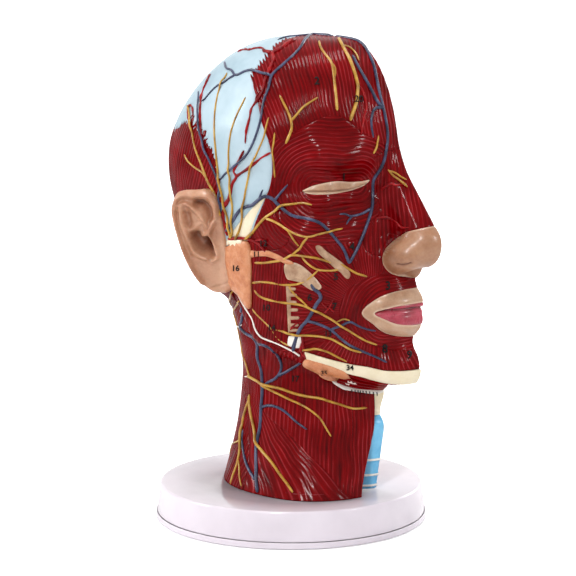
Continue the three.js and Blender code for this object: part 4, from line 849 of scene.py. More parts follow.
# Fibres: streaks that follow a piece's across and along attributes, given in millimetres
fibreStreaks, given, put = groupTree("fibreStreaks", {"Pitch": 2.3, "Length": 26.0},
                                     ["Crest", "Streak", "Hair"])
across = attribute(fibreStreaks, "across")
turns = calc(fibreStreaks, "MULTIPLY", calc(fibreStreaks, "DIVIDE", across, given["Pitch"]), math.pi)
wave = calc(fibreStreaks, "ABSOLUTE", calc(fibreStreaks, "COSINE", turns))
fibreStreaks.links.new(calc(fibreStreaks, "POWER", wave, 4.0), put["Crest"])
lengthwise = calc(fibreStreaks, "DIVIDE", attribute(fibreStreaks, "along"), given["Length"])
for key, width in (("Streak", 1.5), ("Hair", .33)):
    flat = addNode(fibreStreaks, "ShaderNodeCombineXYZ",
                   {"X": calc(fibreStreaks, "DIVIDE", across, width), "Y": lengthwise})
    fibreStreaks.links.new(noise(fibreStreaks, flat.outputs[0], 1.0), put[key])


def newMaterial(name):
    material = bpy.data.materials.new(name)
    material.use_nodes = True
    tree = material.node_tree
    return material, tree, tree.nodes["Principled BSDF"]


def finishShader(tree, shader, links, plain):
    for key, value in links.items():
        tree.links.new(value, shader.inputs[key])
    for key, value in plain.items():
        shader.inputs[key].default_value = value


def bumpNormal(tree, height, distance):
    return addNode(tree, "ShaderNodeBump", {"Height": height, "Strength": 1.0,
                                            "Distance": distance}).outputs["Normal"]


# shadeStrength and hollow give the painted shade in creases and hollows
paintShape = dict(shadeStrength=.55, hollow=(.32, .13, .1, 1), rim=.75, coatRoughness=.18, softScale=.002)


def paint(name, tones, size=.012, roughness=(.3, .45), coat=.25, grain=.00008, specks=.3, soft=0.0,
          pale=None, gloss=.4):
    # tones run from the darkest to the lightest over the painted clouds
    material, tree, shader = newMaterial(name)
    brushed = placeGroup(tree, brushedPaint, Size=size)
    level = calc(tree, "MULTIPLY_ADD", brushed["Fine"], specks, brushed["Broad"])
    colour = ramp(tree, calc(tree, "SUBTRACT", level, specks * .5), toneStops(tones, .3, .4))
    # painted shade: the colour darkens in the creases and hollows that a piece marks in its hollowShade
    # attribute
    shadeShare = calc(tree, "MULTIPLY", attribute(tree, "hollowShade"), paintShape["shadeStrength"], clamp=True)
    colour = mixed(tree, shadeShare, colour, paintShape["hollow"], "MULTIPLY")
    if pale:
        # the thin pale line along the rounded border of a painted patch: partly the paint's own pale edge,
        # partly a painted highlight on the rounded edge
        border = calc(tree, "MULTIPLY", attribute(tree, "rim"), paintShape["rim"], clamp=True)
        colour = mixed(tree, border, colour, colourOf(*pale))
    links = {"Base Color": colour, "Roughness": spread(tree, brushed["Drags"], .3, .7, *roughness),
             "Normal": bumpNormal(tree, brushed["Fine"], grain)}
    plain = {"Specular IOR Level": gloss, "Coat Weight": coat,
             "Coat Roughness": paintShape["coatRoughness"]}
    if soft:
        plain.update({"Subsurface Weight": soft, "Subsurface Scale": paintShape["softScale"]})
    finishShader(tree, shader, links, plain)
    return material


def fibrePaint(name, tones, pitch):
    # deep glossy paint over fine ridges; the ridges and hairs bend its highlights
    material, tree, shader = newMaterial(name)
    streaks = placeGroup(tree, fibreStreaks, Pitch=pitch)
    broad = placeGroup(tree, brushedPaint, Size=.02)["Broad"]
    # the crests come out a little paler than the grooves: painted highlight on the crests and painted shade
    # in the grooves
    level = calc(tree, "MULTIPLY", streaks["Crest"], .12)
    for value, weight in ((streaks["Streak"], .62), (streaks["Hair"], .3), (broad, .42)):
        level = calc(tree, "MULTIPLY_ADD", value, weight, level)
    colour = ramp(tree, calc(tree, "SUBTRACT", level, .3), toneStops(tones, .12, .7))
    # crests get a paler red where the broad clouds are high: a painted highlight along the ridges, partly
    # the paint's paler fibre lines
    crestSheen = calc(tree, "MULTIPLY", calc(tree, "POWER", streaks["Crest"], 4.0),
                spread(tree, broad, .45, .62, .02, .3))
    ridges = calc(tree, "MULTIPLY_ADD", streaks["Crest"], 1.0, calc(tree, "MULTIPLY", streaks["Hair"], .28))
    links = {"Base Color": mixed(tree, crestSheen, colour, colourOf(*crestSheenTone)),
             "Roughness": spread(tree, streaks["Hair"], .3, .7, .22, .36),
             "Normal": bumpNormal(tree, ridges, .00016)}
    finishShader(tree, shader, links, {"Specular IOR Level": .01, "Coat Weight": .15, "Coat Roughness": .1})
    return material


muscleTones = [(56, 0, 1), (98, 0, 3), (126, 0, 4), (150, 10, 14)]
# the paler red of the painted highlight on the fibre crests
crestSheenTone = (184, 74, 82)
materials = dict(
    muscle=fibrePaint("muscleFibrePaint", muscleTones, 2.3),
    muscleRim=paint("muscleRimPaint", [(84, 2, 14), (116, 6, 22), (134, 16, 30)], size=.01,
                    roughness=(.28, .42)),
    flesh=paint("fleshPaint", [(164, 112, 83), (184, 134, 104), (198, 151, 121)], size=.02,
                roughness=(.34, .46), soft=.12, pale=(222, 190, 162)),
    # a darker copy of the flesh paint: painted shade on the nose tip, which has the same paint as the ear
    shadedNoseFlesh=paint("shadedNoseFleshPaint", [(138, 91, 62), (157, 111, 81), (171, 127, 96)], size=.02,
                    roughness=(.34, .46), soft=.12, pale=(214, 182, 154)),
    paleFlesh=paint("paleFleshPaint", [(158, 118, 90), (176, 138, 108), (190, 156, 128)], size=.012,
                    soft=.1, roughness=(.34, .46), pale=(226, 200, 174)),
    lip=paint("lipPaint", [(132, 26, 42), (157, 42, 60), (180, 62, 80)], size=.008, roughness=(.26, .36),
              coat=.4, soft=.1),
    gland=paint("glandPaint", [(184, 108, 66), (200, 128, 84), (212, 148, 106)], size=.006, specks=.4,
                roughness=(.3, .42), grain=.00025),
    fat=paint("fatPaint", [(144, 106, 76), (168, 132, 102), (190, 157, 126)], size=.005, specks=.45,
              grain=.0002, pale=(222, 196, 166)),
    aponeurosis=paint("aponeurosisPaint", [(150, 174, 186), (168, 190, 200), (184, 203, 212)], size=.04,
                      specks=.12, roughness=(.3, .42), coat=.1, gloss=.15),
    bone=paint("bonePaint", [(216, 200, 164), (228, 214, 182), (236, 225, 198)], size=.02, specks=.2,
               roughness=(.32, .46)),
    cartilage=paint("cartilagePaint", [(78, 160, 206), (92, 174, 216), (112, 188, 224)], size=.02,
                    specks=.2, roughness=(.24, .34), coat=.4),
    brain=paint("brainPaint", [(206, 146, 138), (218, 164, 154), (228, 180, 170)], size=.02, specks=.15,
                soft=.1),
    brainWhite=paint("brainWhitePaint", [(222, 208, 190), (238, 228, 214), (244, 237, 226)], size=.012),
    mucosa=paint("mucosaPaint", [(190, 92, 92), (204, 110, 108), (216, 130, 124)], size=.02, specks=.15,
                 roughness=(.24, .36), soft=.1),
    vein=paint("veinPaint", [(34, 38, 56), (56, 60, 86), (80, 84, 112)], size=.007, roughness=(.24, .34),
               coat=.2, gloss=.2),
    artery=paint("arteryPaint", [(96, 2, 8), (138, 6, 12), (164, 18, 22)], size=.007, roughness=(.3, .42),
                 coat=.06, gloss=.15),
    nerve=paint("nervePaint", [(138, 96, 28), (178, 132, 42), (200, 160, 70)], size=.007,
                roughness=(.28, .38), gloss=.3),
    base=paint("basePlastic", [(215, 206, 214), (223, 214, 222), (230, 222, 229)], size=.05, specks=.08,
               roughness=(.16, .22), coat=.3, grain=.00001),
    steel=paint("screwSteel", [(120, 122, 126), (158, 160, 164), (182, 184, 188)], size=.004,
                roughness=(.22, .36)),
    ink=paint("numberInk", [(14, 12, 12), (22, 19, 19), (34, 30, 30)], size=.004, roughness=(.4, .5),
              coat=0, gloss=.1),
    nearWhite=paint("jawLinePaint", [(220, 212, 200), (234, 228, 217), (242, 238, 230)], size=.006),
)
materials["steel"].node_tree.nodes["Principled BSDF"].inputs["Metallic"].default_value = 1.0

# CAD pieces that keep their own shape, and the finish each gets
nodeFinishes = dict(
    base=["base_tray", "base_bottom_plate", "locating_peg_front", "locating_peg_rear"],
    steel=["base_screw_1", "base_screw_2", "base_screw_3"],
    muscleRim=["eye_ring_muscle", "mouth_ring_muscle", "masseter_muscle", "occipital_muscle",
               "temporal_muscle", "frontal_muscle", "nose_muscle", "chin_muscle", "cheek_muscles",
               "throat_muscles", "neck_side_muscle", "nape_muscle"],
    flesh=["ear"],
    shadedNoseFlesh=["nose_tip"],
    paleFlesh=["eyelids", "lip_surround"],
    lip=["lips"],
    gland=["parotid_gland", "submandibular_gland"],
    fat=["buccal_fat_pad"],
    aponeurosis=["scalp_aponeurosis"],
    bone=["temple_bone", "mandible_edge", "section_plate", "neck_foot_plate", "skull_section", "voice_box",
          "lower_jaw_section", "neck_bones", "neck_bone_spines"],
    cartilage=["windpipe"],
    brain=["cerebrum", "cerebellum"],
    brainWhite=["corpus_callosum", "brain_stem", "spinal_cord"],
    mucosa=["nasal_wall", "palate_and_upper_jaw", "tongue"],
    vein=["temporal_vein", "face_vein", "facial_vein", "neck_vein"],
    artery=["temporal_artery"],
    nerve=["temple_nerves", "occipital_nerve", "forehead_nerve_forked", "forehead_nerve_outer",
           "forehead_nerve_inner", "facial_nerve", "jaw_nerve", "throat_nerve", "collar_nerves"],
)
for finish, names in nodeFinishes.items():
    for name in names:
        coats = frame["nodes"][name].data.materials
        coats.clear()
        coats.append(materials[finish])
print("materials:", len(materials))


# Skin of the outer side, panel by panel
solids = solidsTree()
for index, panel in enumerate(panels):
    piece = coatPiece(index)
    print("skin:", piece.name, len(piece.data.polygons))


# Vessels and nerves, as routes in the picture laid onto the skin
cordShape = dict(
    sides=10, spacing=1.1, sink=.22, tipLength=5.0, tipShare=.42, liftOver=.8, liftReach=2.6,
    artery=1.2, vein=1.2, nerve=1.0, knots=.45, overGland=1.2,
)
cordRoutes = dict(
    temporal_artery=("artery", [
        (.95, .7, [
            (228, 236), (226, 226), (224, 217), (225, 208), (229, 201), (231, 194), (233, 184), (237, 177),
            (234, 172), (237, 166), (241, 158), (244.4, 151)]),
        (.6, 1.15, [
            (245.6, 144), (247, 131), (250, 119), (252, 109), (257, 102), (263, 92), (266, 80), (271, 68),
            (274, 60), (273, 54), (279, 51), (286, 46), (296, 40)]),
        (1.1, .65, [(236, 177.5), (240, 174.5), (247, 170), (256, 163), (262, 158), (271, 153)]),
        (1.2, .8, [(229, 199), (226, 205), (223, 202), (221, 197)]),
        (1, .5, [
            (273, 54), (269, 53.2), (264.5, 52), (263, 49.5), (256, 49.4), (250, 51), (245, 50.6),
            (238, 53)]),
        (.6, .45, [(256, 103), (257, 97), (261, 92)])]),
    occipital_artery=("artery", [
        (.95, .6, [(205, 152), (202, 141), (201, 122), (201, 108), (203, 93), (207, 84), (211, 75)]),
        (.8, .5, [(191, 128), (189, 115), (190, 106), (193, 108), (194, 122)])]),
    cheek_artery=("artery", [
        (.9, .7, [(229, 239), (238, 238.5), (248, 239), (258, 243), (267, 253)]),
        (.7, .5, [(255, 241), (262, 240), (268, 243)]),
        (.9, .6, [(303, 342), (301, 351), (304, 356), (309, 359)]),
        (.8, .5, [(298, 323), (292, 328), (289, 336)]),
        (.8, .5, [(382, 190), (392, 184), (396, 186), (404, 184)]),
        (.75, .5, [(376, 219), (388, 218), (396, 222), (402, 228), (409, 228)]),
        (.7, .6, [
            (359.5, 87), (363, 94), (365, 101), (366, 109), (363.6, 117), (362.4, 126), (361, 134)])]),
    temporal_vein=("vein", [
        (1, .58, [
            (334, 34), (322, 33), (314, 35), (307, 39), (299, 51), (284, 65), (276, 72), (272, 77),
            (269, 89), (264, 102), (261, 120), (256, 137), (248, 154), (241, 162), (234, 168), (226, 174),
            (221, 180)]),
        (.8, .62, [(272, 77), (265, 75), (253, 71), (246, 72), (236, 76), (232, 71), (227, 69), (225, 63)]),
        (.72, .5, [(236, 76), (230, 79), (225, 83), (219, 86), (213, 91), (203, 103)]),
        (.5, .7, [
            (199, 92), (200, 108), (201, 127), (204, 142), (207, 154), (213, 168), (217, 178), (220, 190),
            (221, 202), (222, 214)]),
        (.6, .8, [(278, 41), (288, 38), (300, 37), (311, 36)])]),
    face_vein=("vein", [
        (.8, .9, [
            (347, 37), (354, 40), (363, 46), (368, 54), (373, 66), (376, 80), (379, 94), (382, 106),
            (384, 115), (386, 126), (387, 137), (386, 148), (384, 160), (380, 170), (374, 180), (373, 194),
            (372, 208), (367, 224), (361, 240), (355, 253), (349, 264)]),
        (.75, .95, [(352, 56), (358, 68), (365, 80), (371, 91), (376, 101), (382, 109)]),
        (.9, .55, [(382, 109), (377, 108), (373, 111), (371, 118), (371, 128), (373, 138)]),
        (.95, .85, [
            (228, 231), (234, 220), (241, 210), (247, 207), (252, 206), (258, 201), (265, 197), (272, 199),
            (279, 206), (287, 213), (294, 217), (309, 220), (320, 224), (329, 232), (336, 240), (343, 249),
            (349, 264)]),
        (.7, .5, [(259, 201), (261, 195), (263, 190)]),
        (.75, .5, [(275, 201), (279, 196), (282, 192), (288, 185)]),
        (.8, .5, [(371, 209), (363, 214), (350, 217), (345, 215), (339, 215)]),
        (.65, .45, [(352, 217), (348, 221), (346, 225)])]),
    facial_vein=("vein", [
        (1, .95, [
            (311, 283), (314, 289), (319, 293), (321, 298), (317, 304), (312, 313), (307, 321), (301, 328),
            (297, 337), (295, 345), (293, 352)]),
        (.85, .6, [
            (307, 321), (318, 324), (331, 330), (340, 338), (349, 345), (361, 351), (375, 357),
            (387, 363)]),
        (.75, .5, [(331, 329.5), (341, 326), (350, 322), (358, 326), (366, 329), (376, 331)])]),
    neck_vein=("vein", [
        (.8, 1.1, [
            (242, 308), (243, 319), (241, 327), (246, 333), (254, 338), (258, 344), (258, 357), (262, 370),
            (263, 382), (263, 394), (262, 407), (261, 426), (257, 447), (257, 465), (257, 482),
            (258, 493)]),
        (.9, .8, [
            (258, 343), (265, 345), (272, 349), (279, 357), (282, 368), (277, 378), (267, 384),
            (263, 390)]),
        (.8, .6, [(277, 377), (285, 373), (292, 369), (301, 363)]),
        (.85, .55, [(262, 408), (268, 406), (276, 407), (284, 411), (290, 416), (295, 421), (307, 430)]),
        (.7, .95, [(244, 430), (243, 439), (244, 450), (246, 461), (251, 473), (257, 482)])]),
    temple_nerves=("nerve", [
        (.55, .85, [
            (228, 74), (223, 84), (219, 93), (216, 108), (215, 120), (215, 135), (216, 147), (217, 158),
            (220, 180), (224, 198), (228, 217), (232, 238)]),
        (.55, .8, [
            (246, 98), (242, 106), (238, 114), (234, 124), (231, 135), (229, 154), (230, 173), (232, 192),
            (233, 211), (233, 238)]),
        (.55, .8, [
            (269, 118), (266, 129), (264, 138), (258, 152), (251, 169), (247, 186), (244, 204), (242, 222),
            (237, 240)]),
        (.6, .5, [(275, 133), (274, 142), (273, 151), (274, 165), (275, 178)])]),
    occipital_nerve=("nerve", [
        (.6, 1, [
            (190, 107), (191, 116), (192, 126), (194, 141), (197, 152), (201, 162), (205, 173), (209, 183),
            (214, 192), (219, 203), (223, 216)]),
        (.55, .75, [(185, 155), (188, 161), (192, 165), (197, 169), (203, 173), (208, 180)])]),
    forehead_nerve_forked=("nerve", [
        (.7, .9, [(280, 96), (284, 104), (288, 112), (291, 120), (292, 128), (289, 137), (286, 144)]),
        (.6, .8, [(318, 98), (310, 103), (303, 108), (297, 115), (291, 122)])]),
    forehead_nerve_outer=("nerve", [
        (.7, 1, [
            (319, 42), (321, 49), (325, 55), (331, 63), (333, 71), (334, 80), (335, 90), (336, 99),
            (337, 111)]),
        (.6, .6, [(331, 63), (335, 69), (335, 78)])]),
    forehead_nerve_inner=("nerve", [
        (1, 1.2, [
            (338.5, 39.5), (341, 44), (344, 50), (349, 60), (353, 70), (356, 80), (357, 93), (356, 103),
            (353, 112), (350, 121)]),
        (.6, .5, [(341, 46), (349, 48), (355, 54), (358, 62)])]),
    brow_nerves=("nerve", [
        (.6, .75, [(378, 136), (377, 142), (376, 148), (373, 154)]),
        (.6, .8, [(388, 170), (393, 176), (398, 180), (402, 184), (407, 188)]),
        (.7, .5, [(389, 171), (396, 174), (401, 178), (406, 181)])]),
    facial_nerve=("nerve", [
        (1, .7, [
            (247, 239), (252, 234), (256, 229), (261, 223), (266, 218), (274, 213), (283, 207), (293, 205),
            (303, 204), (312, 206)]),
        (.8, .6, [
            (266, 219), (272, 221), (280, 225), (289, 231), (298, 235), (308, 237), (320, 234), (331, 231),
            (342, 229)]),
        (.7, .6, [(287, 229), (291, 235), (294, 240), (299, 246)]),
        (.8, .7, [(308, 237), (303, 243), (300, 248), (292, 255)]),
        (.9, .7, [
            (255, 263), (265, 263), (272, 262), (283, 260), (292, 255), (303, 256), (316, 258), (329, 262),
            (341, 265), (348, 269), (357, 274), (367, 277)]),
        (.7, .6, [(302, 257), (307, 263), (312, 267), (318, 270), (331, 271), (344, 269)]),
        (.9, .6, [
            (253, 283), (262, 282), (272, 283), (283, 285), (294, 285), (302, 283), (309, 279),
            (318, 271)]),
        (.75, .6, [(289, 286), (292, 291), (296, 296), (302, 301), (308, 307)]),
        (.95, .6, [
            (255, 290), (259, 295), (264, 298), (270, 300), (285, 303), (300, 305), (314, 310), (325, 316),
            (337, 323), (349, 331), (357, 336), (366, 341), (377, 345)]),
        (.6, .45, [(337, 322), (344, 319), (350, 320)])]),
    jaw_nerve=("nerve", [
        (.75, .7, [
            (274, 329), (285, 332), (297, 335), (313, 336), (322, 337), (331, 339), (341, 344), (350, 349),
            (361, 352)]),
        (.8, .6, [
            (253, 309), (257, 314), (262, 319), (268, 325), (272, 329), (276, 336), (281, 341),
            (289, 346)]),
        (.8, .6, [(303, 350), (309, 350), (315, 349), (327, 352), (337, 357), (347, 362)])]),
    throat_nerve=("nerve", [
        (1, .75, [
            (248, 376), (255, 380), (263, 384), (272, 387), (281, 389), (295, 394), (308, 397), (321, 399),
            (330, 402), (340, 405), (353, 409), (367, 408)]),
        (.8, .6, [
            (263, 385), (270, 390), (280, 395), (290, 400), (299, 404), (308, 409), (316, 415), (321, 420),
            (325, 427), (331, 437)])]),
    collar_nerves=("nerve", [
        (1.1, .9, [
            (250, 395), (250, 403), (251, 412), (254, 426), (258, 444), (263, 452), (269, 459), (275, 467),
            (281, 476), (287, 484), (293, 493)]),
        (1, .8, [
            (250, 400), (247, 408), (244, 419), (243, 430), (243, 439), (241, 448), (239, 459), (237, 467),
            (234, 475), (231, 485)]),
        (.7, .55, [(239, 460), (240, 468), (240, 476), (242, 487)]),
        (.7, .5, [(243, 437), (240, 441), (236, 443), (229, 447), (226, 454)])]),
    ear_nerve=("nerve", [
        (.6, .8, [(233, 290), (231, 296), (229, 303), (227, 309)]),
        (.6, .8, [
            (240, 301), (237, 306), (233, 314), (234, 322), (236, 330), (240, 345), (246, 362),
            (250, 376)])]),
)
cordOwnNodes = nodeFinishes["vein"] + nodeFinishes["artery"] + nodeFinishes["nerve"]


def sweepTree():
    tree = bpy.data.node_groups.new("cordSweep", "GeometryNodeTree")
    sockets = {}
    for key, kind in (("Geometry", "NodeSocketGeometry"), ("Radius", "NodeSocketFloat"),
                      ("Sides", "NodeSocketInt"), ("Finish", "NodeSocketMaterial")):
        sockets[key] = tree.interface.new_socket(key, in_out="INPUT", socket_type=kind).identifier
    tree.interface.new_socket("Geometry", in_out="OUTPUT", socket_type="NodeSocketGeometry")
    given, put = tree.nodes.new("NodeGroupInput"), tree.nodes.new("NodeGroupOutput")
    curve = addNode(tree, "GeometryNodeMeshToCurve", {"Mesh": given.outputs["Geometry"]})
    thickness = addNode(tree, "GeometryNodeInputNamedAttribute", {"Name": "thickness"}, data_type="FLOAT")
    ring = addNode(tree, "GeometryNodeCurvePrimitiveCircle",
                   {"Resolution": given.outputs["Sides"], "Radius": given.outputs["Radius"]})
    swept = addNode(tree, "GeometryNodeCurveToMesh",
                    {"Curve": curve.outputs["Curve"], "Profile Curve": ring.outputs["Curve"],
                     "Scale": thickness.outputs["Attribute"], "Fill Caps": True})
    smooth = addNode(tree, "GeometryNodeSetShadeSmooth", {"Geometry": swept.outputs["Mesh"]})
    real = addNode(tree, "GeometryNodeRealizeInstances", {"Geometry": smooth.outputs["Geometry"]})
    coated = addNode(tree, "GeometryNodeSetMaterial",
                     {"Geometry": real.outputs["Geometry"], "Material": given.outputs["Finish"]})
    tree.links.new(coated.outputs["Geometry"], put.inputs[0])
    return tree, sockets


cordSweep, sweepSockets = sweepTree()


def sweptPiece(name, lines, radius, finish, sides=10):
    # lines: world points in metres and a thickness share for each
    points = np.vstack([p for p, _ in lines])
    shares = np.concatenate([s for _, s in lines])
    edges, start = [], 0
    for p, _ in lines:
        edges += [(start + i, start + i + 1) for i in range(len(p) - 1)]
        start += len(p)
    mesh = bpy.data.meshes.new(name + "_route")
    mesh.from_pydata(points.tolist(), edges, [])
    mesh.attributes.new("thickness", "FLOAT", "POINT").data.foreach_set("value", shares.astype(np.float32))
    route = bpy.data.objects.new(name + "_route", mesh)
    scene.collection.objects.link(route)
    modifier = route.modifiers.new("sweep", "NODES")
    modifier.node_group = cordSweep
    modifier[sweepSockets["Radius"]] = radius * mm
    modifier[sweepSockets["Sides"]] = sides
    modifier[sweepSockets["Finish"]] = materials[finish]
    evaluated = route.evaluated_get(bpy.context.evaluated_depsgraph_get())
    plain = bpy.data.meshes.new_from_object(evaluated)
    plain.name = name
    route.modifiers.clear()
    bpy.data.objects.remove(route)
    piece = bpy.data.objects.new(name, plain)
    scene.collection.objects.link(piece)
    return finished(piece, finish)


def evenLine(points, spacing):
    steps = np.linalg.norm(np.diff(points, axis=0), axis=1)
    far = np.concatenate([[0], np.cumsum(steps)])
    count = max(4, int(far[-1] / spacing))
    at = np.linspace(0, far[-1], count)
    return np.stack([np.interp(at, far, points[:, k]) for k in range(points.shape[1])], 1), at


def softened(line, rounds=2):
    for _ in range(rounds):
        line[1:-1] = (line[:-2] + 2 * line[1:-1] + line[2:]) / 4
    return line


laidCords = {}
for name, (kind, routes) in cordRoutes.items():
    for start, end, pixels in routes:
        picture = roundLine(pixels, 8, closed=False)
        skin = softened(sightHits(picture))
        skin, at = evenLine(skin, cordShape["spacing"])
        seat, normal = settle(skin)
        share = np.interp(at, [0, at[-1]], [start, end])
        ends = np.minimum(at, at[-1] - at) / cordShape["tipLength"]
        if kind == "artery":
            share = share * (1 + cordShape["knots"] * noiseAt(skin, 3.0))
        share = share * (cordShape["tipShare"]
                         + (1 - cordShape["tipShare"]) * np.clip(ends * 2.5, 0, 1) ** .5)
        laidCords.setdefault(name, []).append([kind, seat, unit(normal), share])
glandLine = next(panel["line"] for panel in panels if panel["node"] == "parotid_gland")
order = ["artery", "vein", "nerve"]  # from the lowest to the highest
for name, lines in laidCords.items():
    rank = order.index(lines[0][0])
    under = [line[1] for other in laidCords.values() for line in other if order.index(line[0]) < rank]
    tubes = []
    for kind, seat, normal, share in lines:
        rise = panelShape["lift"] + cordShape[kind] * share * cordShape["sink"]
        if under:
            far = np.linalg.norm(seat[:, None] - np.vstack(under)[None], axis=-1).min(1)
            bridge = bell(far, cordShape["liftReach"])
            rise = rise + softened(
                bridge * (cordShape["vein"] + cordShape["artery"]) * cordShape["liftOver"], 3)
        onGland = outlineDistance(glandLine, seat[:, 1], seat[:, 2]) < 1
        rise = rise + softened(np.where(onGland, panelShape["raised"] + cordShape["overGland"], 0.0), 4)
        tubes.append((world(seat + normal * rise[:, None]), share))
    piece = sweptPiece(name + "_tubes", tubes, cordShape[lines[0][0]], lines[0][0], cordShape["sides"])
    if name in cordOwnNodes:
        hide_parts(name)
print("cords:", len(laidCords))


# Ear: a sheet in its own plane, x outward, y forward and z up, in millimetres
earShape = dict(
    place=(73.5, -12.0, 190.0), flare=30.0, tilt=10.0, spacing=.42, thickness=2.9, rootThickness=12.0,
    edgeRound=2.3, frontRise=1.6, frontBand=(-3.5, 6), rootBand=(-17, 12),
    outline=[
        (-31.1, 26.9), (-28.1, 32.7), (-22.7, 34.8), (-15.9, 35.2), (-9.1, 35.0), (-4.7, 32.5),
        (-1.9, 29.0), (-.4, 25.7), (.7, 19.7), (2.5, 10.7), (3.8, .9), (4.8, -8.3), (5.4, -17.4),
        (6.1, -25.1), (6.9, -30.0), (3.6, -33.8), (-4.1, -35.5), (-9.3, -34.2), (-15.9, -28.3),
        (-22.1, -18.6), (-26.8, -7.2), (-29.9, 4.1), (-31.9, 14.0), (-32.6, 21.5)],
    # raised lines and hollows: points, height, half width
    ridges=[
        ([
            (-15, -28), (-20.6, -19.6), (-25.4, -8), (-28.6, 3.5), (-30.6, 14), (-30.9, 22), (-28.6, 29),
            (-23, 32.2), (-16.8, 31.6), (-12.2, 32.3), (-6.9, 31.6), (-3.7, 28.4), (-2.4, 23.5), (-3, 17.8),
            (-4.9, 12.5), (-7, 8.8), (-9, 5.4), (-12, 4)], 3.4, 2.3),
        ([(-27, 24.6), (-23.2, 26.2), (-18.8, 24.2), (-14.5, 20.4), (-11, 15.2), (-8.6, 10.6)], 2.9, 1.9),
        ([
            (-25.8, 24), (-26, 17.2), (-24.9, 10.4), (-22.6, 4.4), (-20.2, -1.6), (-17.6, -6.6),
            (-13.6, -9.4), (-10.2, -10.8)], 3.4, 2.3),
        ([(-23, 5.8), (-18.2, 9.3), (-12.8, 13.3)], 1.7, 1.9),
        ([(-7.6, 7.4), (-7.4, 3.6), (-6, 0), (-3.4, -3.6), (-2.5, -7), (-3.4, -10.5), (-6.2, -12)], 3.2,
         1.9),
        ([(-10.6, -11.4), (-7.4, -12.6)], 1.6, 2.2),
        ([(-13, -14), (-11, -22), (-7, -27)], .9, 3.6),
    ],
    hollows=[
        ([(-28.2, 19.4), (-28.3, 11.8), (-27.2, 4.2), (-25, -3.4), (-22, -10.2)], 1.5, 1.3),
        ([(-22.4, 18.4), (-21.2, 12)], 2.6, 2.4),
        ([(-14.6, 27), (-11, 26.4), (-7.6, 22.4), (-5.9, 17.6)], 4.4, 2.4),
        ([(-17.2, 2.2), (-14.4, -1.2), (-11, -2.4)], 8.0, 4.6),
        ([(-9.6, 2), (-8.4, -3)], 4.2, 2.6),
        ([(-7.6, -5.6), (-5.6, -8.6)], 4.0, 1.7),
        ([(-8.4, -31.4), (-2.2, -29.6), (4.6, -26.6)], .7, .9),
    ],
)


def flatGrid(low, high, spacing):
    # a grid of points (0, y, z) whose faces look along +x
    across, up = np.arange(low[0], high[0], spacing), np.arange(low[1], high[1], spacing)
    y, z = (v.ravel() for v in np.meshgrid(across, up, indexing="ij"))
    return np.stack([0 * y, y, z], 1), gridFaces(len(across), len(up))


def easedShare(value):
    value = np.clip(value, 0, 1)
    return value * value * (3 - 2 * value)


def bandShare(y, band):
    # from 0 to 1 over a band across the ear, given by its start and width
    return easedShare((y - band[0]) / band[1])


def earHeight(y, z):
    height = np.full(y.shape, earShape["thickness"])
    proud = np.zeros(y.shape)
    for line, tall, wide in earShape["ridges"]:
        proud = np.maximum(proud, tall * bell(lineDistance(line, y, z), wide))
    for line, deep, wide in earShape["hollows"]:
        height = height - deep * bell(lineDistance(line, y, z), wide, 2.4)
    return height + proud + earShape["frontRise"] * bandShare(y, earShape["frontBand"])


def makeEar():
    s = earShape
    line = roundLine(s["outline"], 5)
    points, faces = flatGrid(line.min(0) - 1, line.max(0) + 1, s["spacing"])
    y, z = points[:, 1], points[:, 2]
    points, faces = clipMesh(points, faces, outlineDistance(line, y, z))
    y, z = points[:, 1], points[:, 2]
    inside = np.clip(-outlineDistance(line, y, z), 0, None)
    front = earHeight(y, z)
    thick = s["thickness"] + (s["rootThickness"] - s["thickness"]) * bandShare(y, s["rootBand"])
    back = np.minimum(front, s["thickness"]) - thick
    middle, half = (front + back) / 2, (front - back) / 2
    nearRim = np.clip(inside / s["edgeRound"], 0, 1)
    bent = np.sqrt(np.clip(1 - (1 - nearRim) ** 2, 0, 1))
    rimMiddle = front - np.minimum(half, s["thickness"])
    middle = rimMiddle + (middle - rimMiddle) * np.clip(inside / 4, 0, 1)
    outer = middle + (front - middle) * bent
    inner = middle - (middle - back) * bent
    flare, tilt = math.radians(s["flare"]), math.radians(s["tilt"])
    turnZ = np.array([[math.cos(flare), -math.sin(flare), 0], [math.sin(flare), math.cos(flare), 0],
                      [0, 0, 1]])
    turnY = np.array([[math.cos(tilt), 0, math.sin(tilt)], [0, 1, 0], [-math.sin(tilt), 0, math.cos(tilt)]])
    sheets = [np.stack([x, y, z], 1) @ (turnZ @ turnY).T + s["place"] for x in (outer, inner)]
    # painted shade, darker where the ear's front lies deep in its hollows
    hollowness = np.clip((s["thickness"] + .4 - front) / 5.5, 0, 1)
    piece = newMesh("ear_shell", world(np.vstack(sheets)), shellFaces(faces, len(points)),
                    dict(hollowShade=np.concatenate([hollowness, 0 * hollowness])))
    return finished(piece, "flesh", replaces=("ear",))


makeEar()
print("ear")


# Base tray and the band round its foot
baseShape = dict(radius=91.0, plateTop=4.2, seam=.2, trayFoot=90.2, trayTop=88.0, top=24.0, round=1.6,
                 wall=2.5, bandInner=84.0, turns=180)


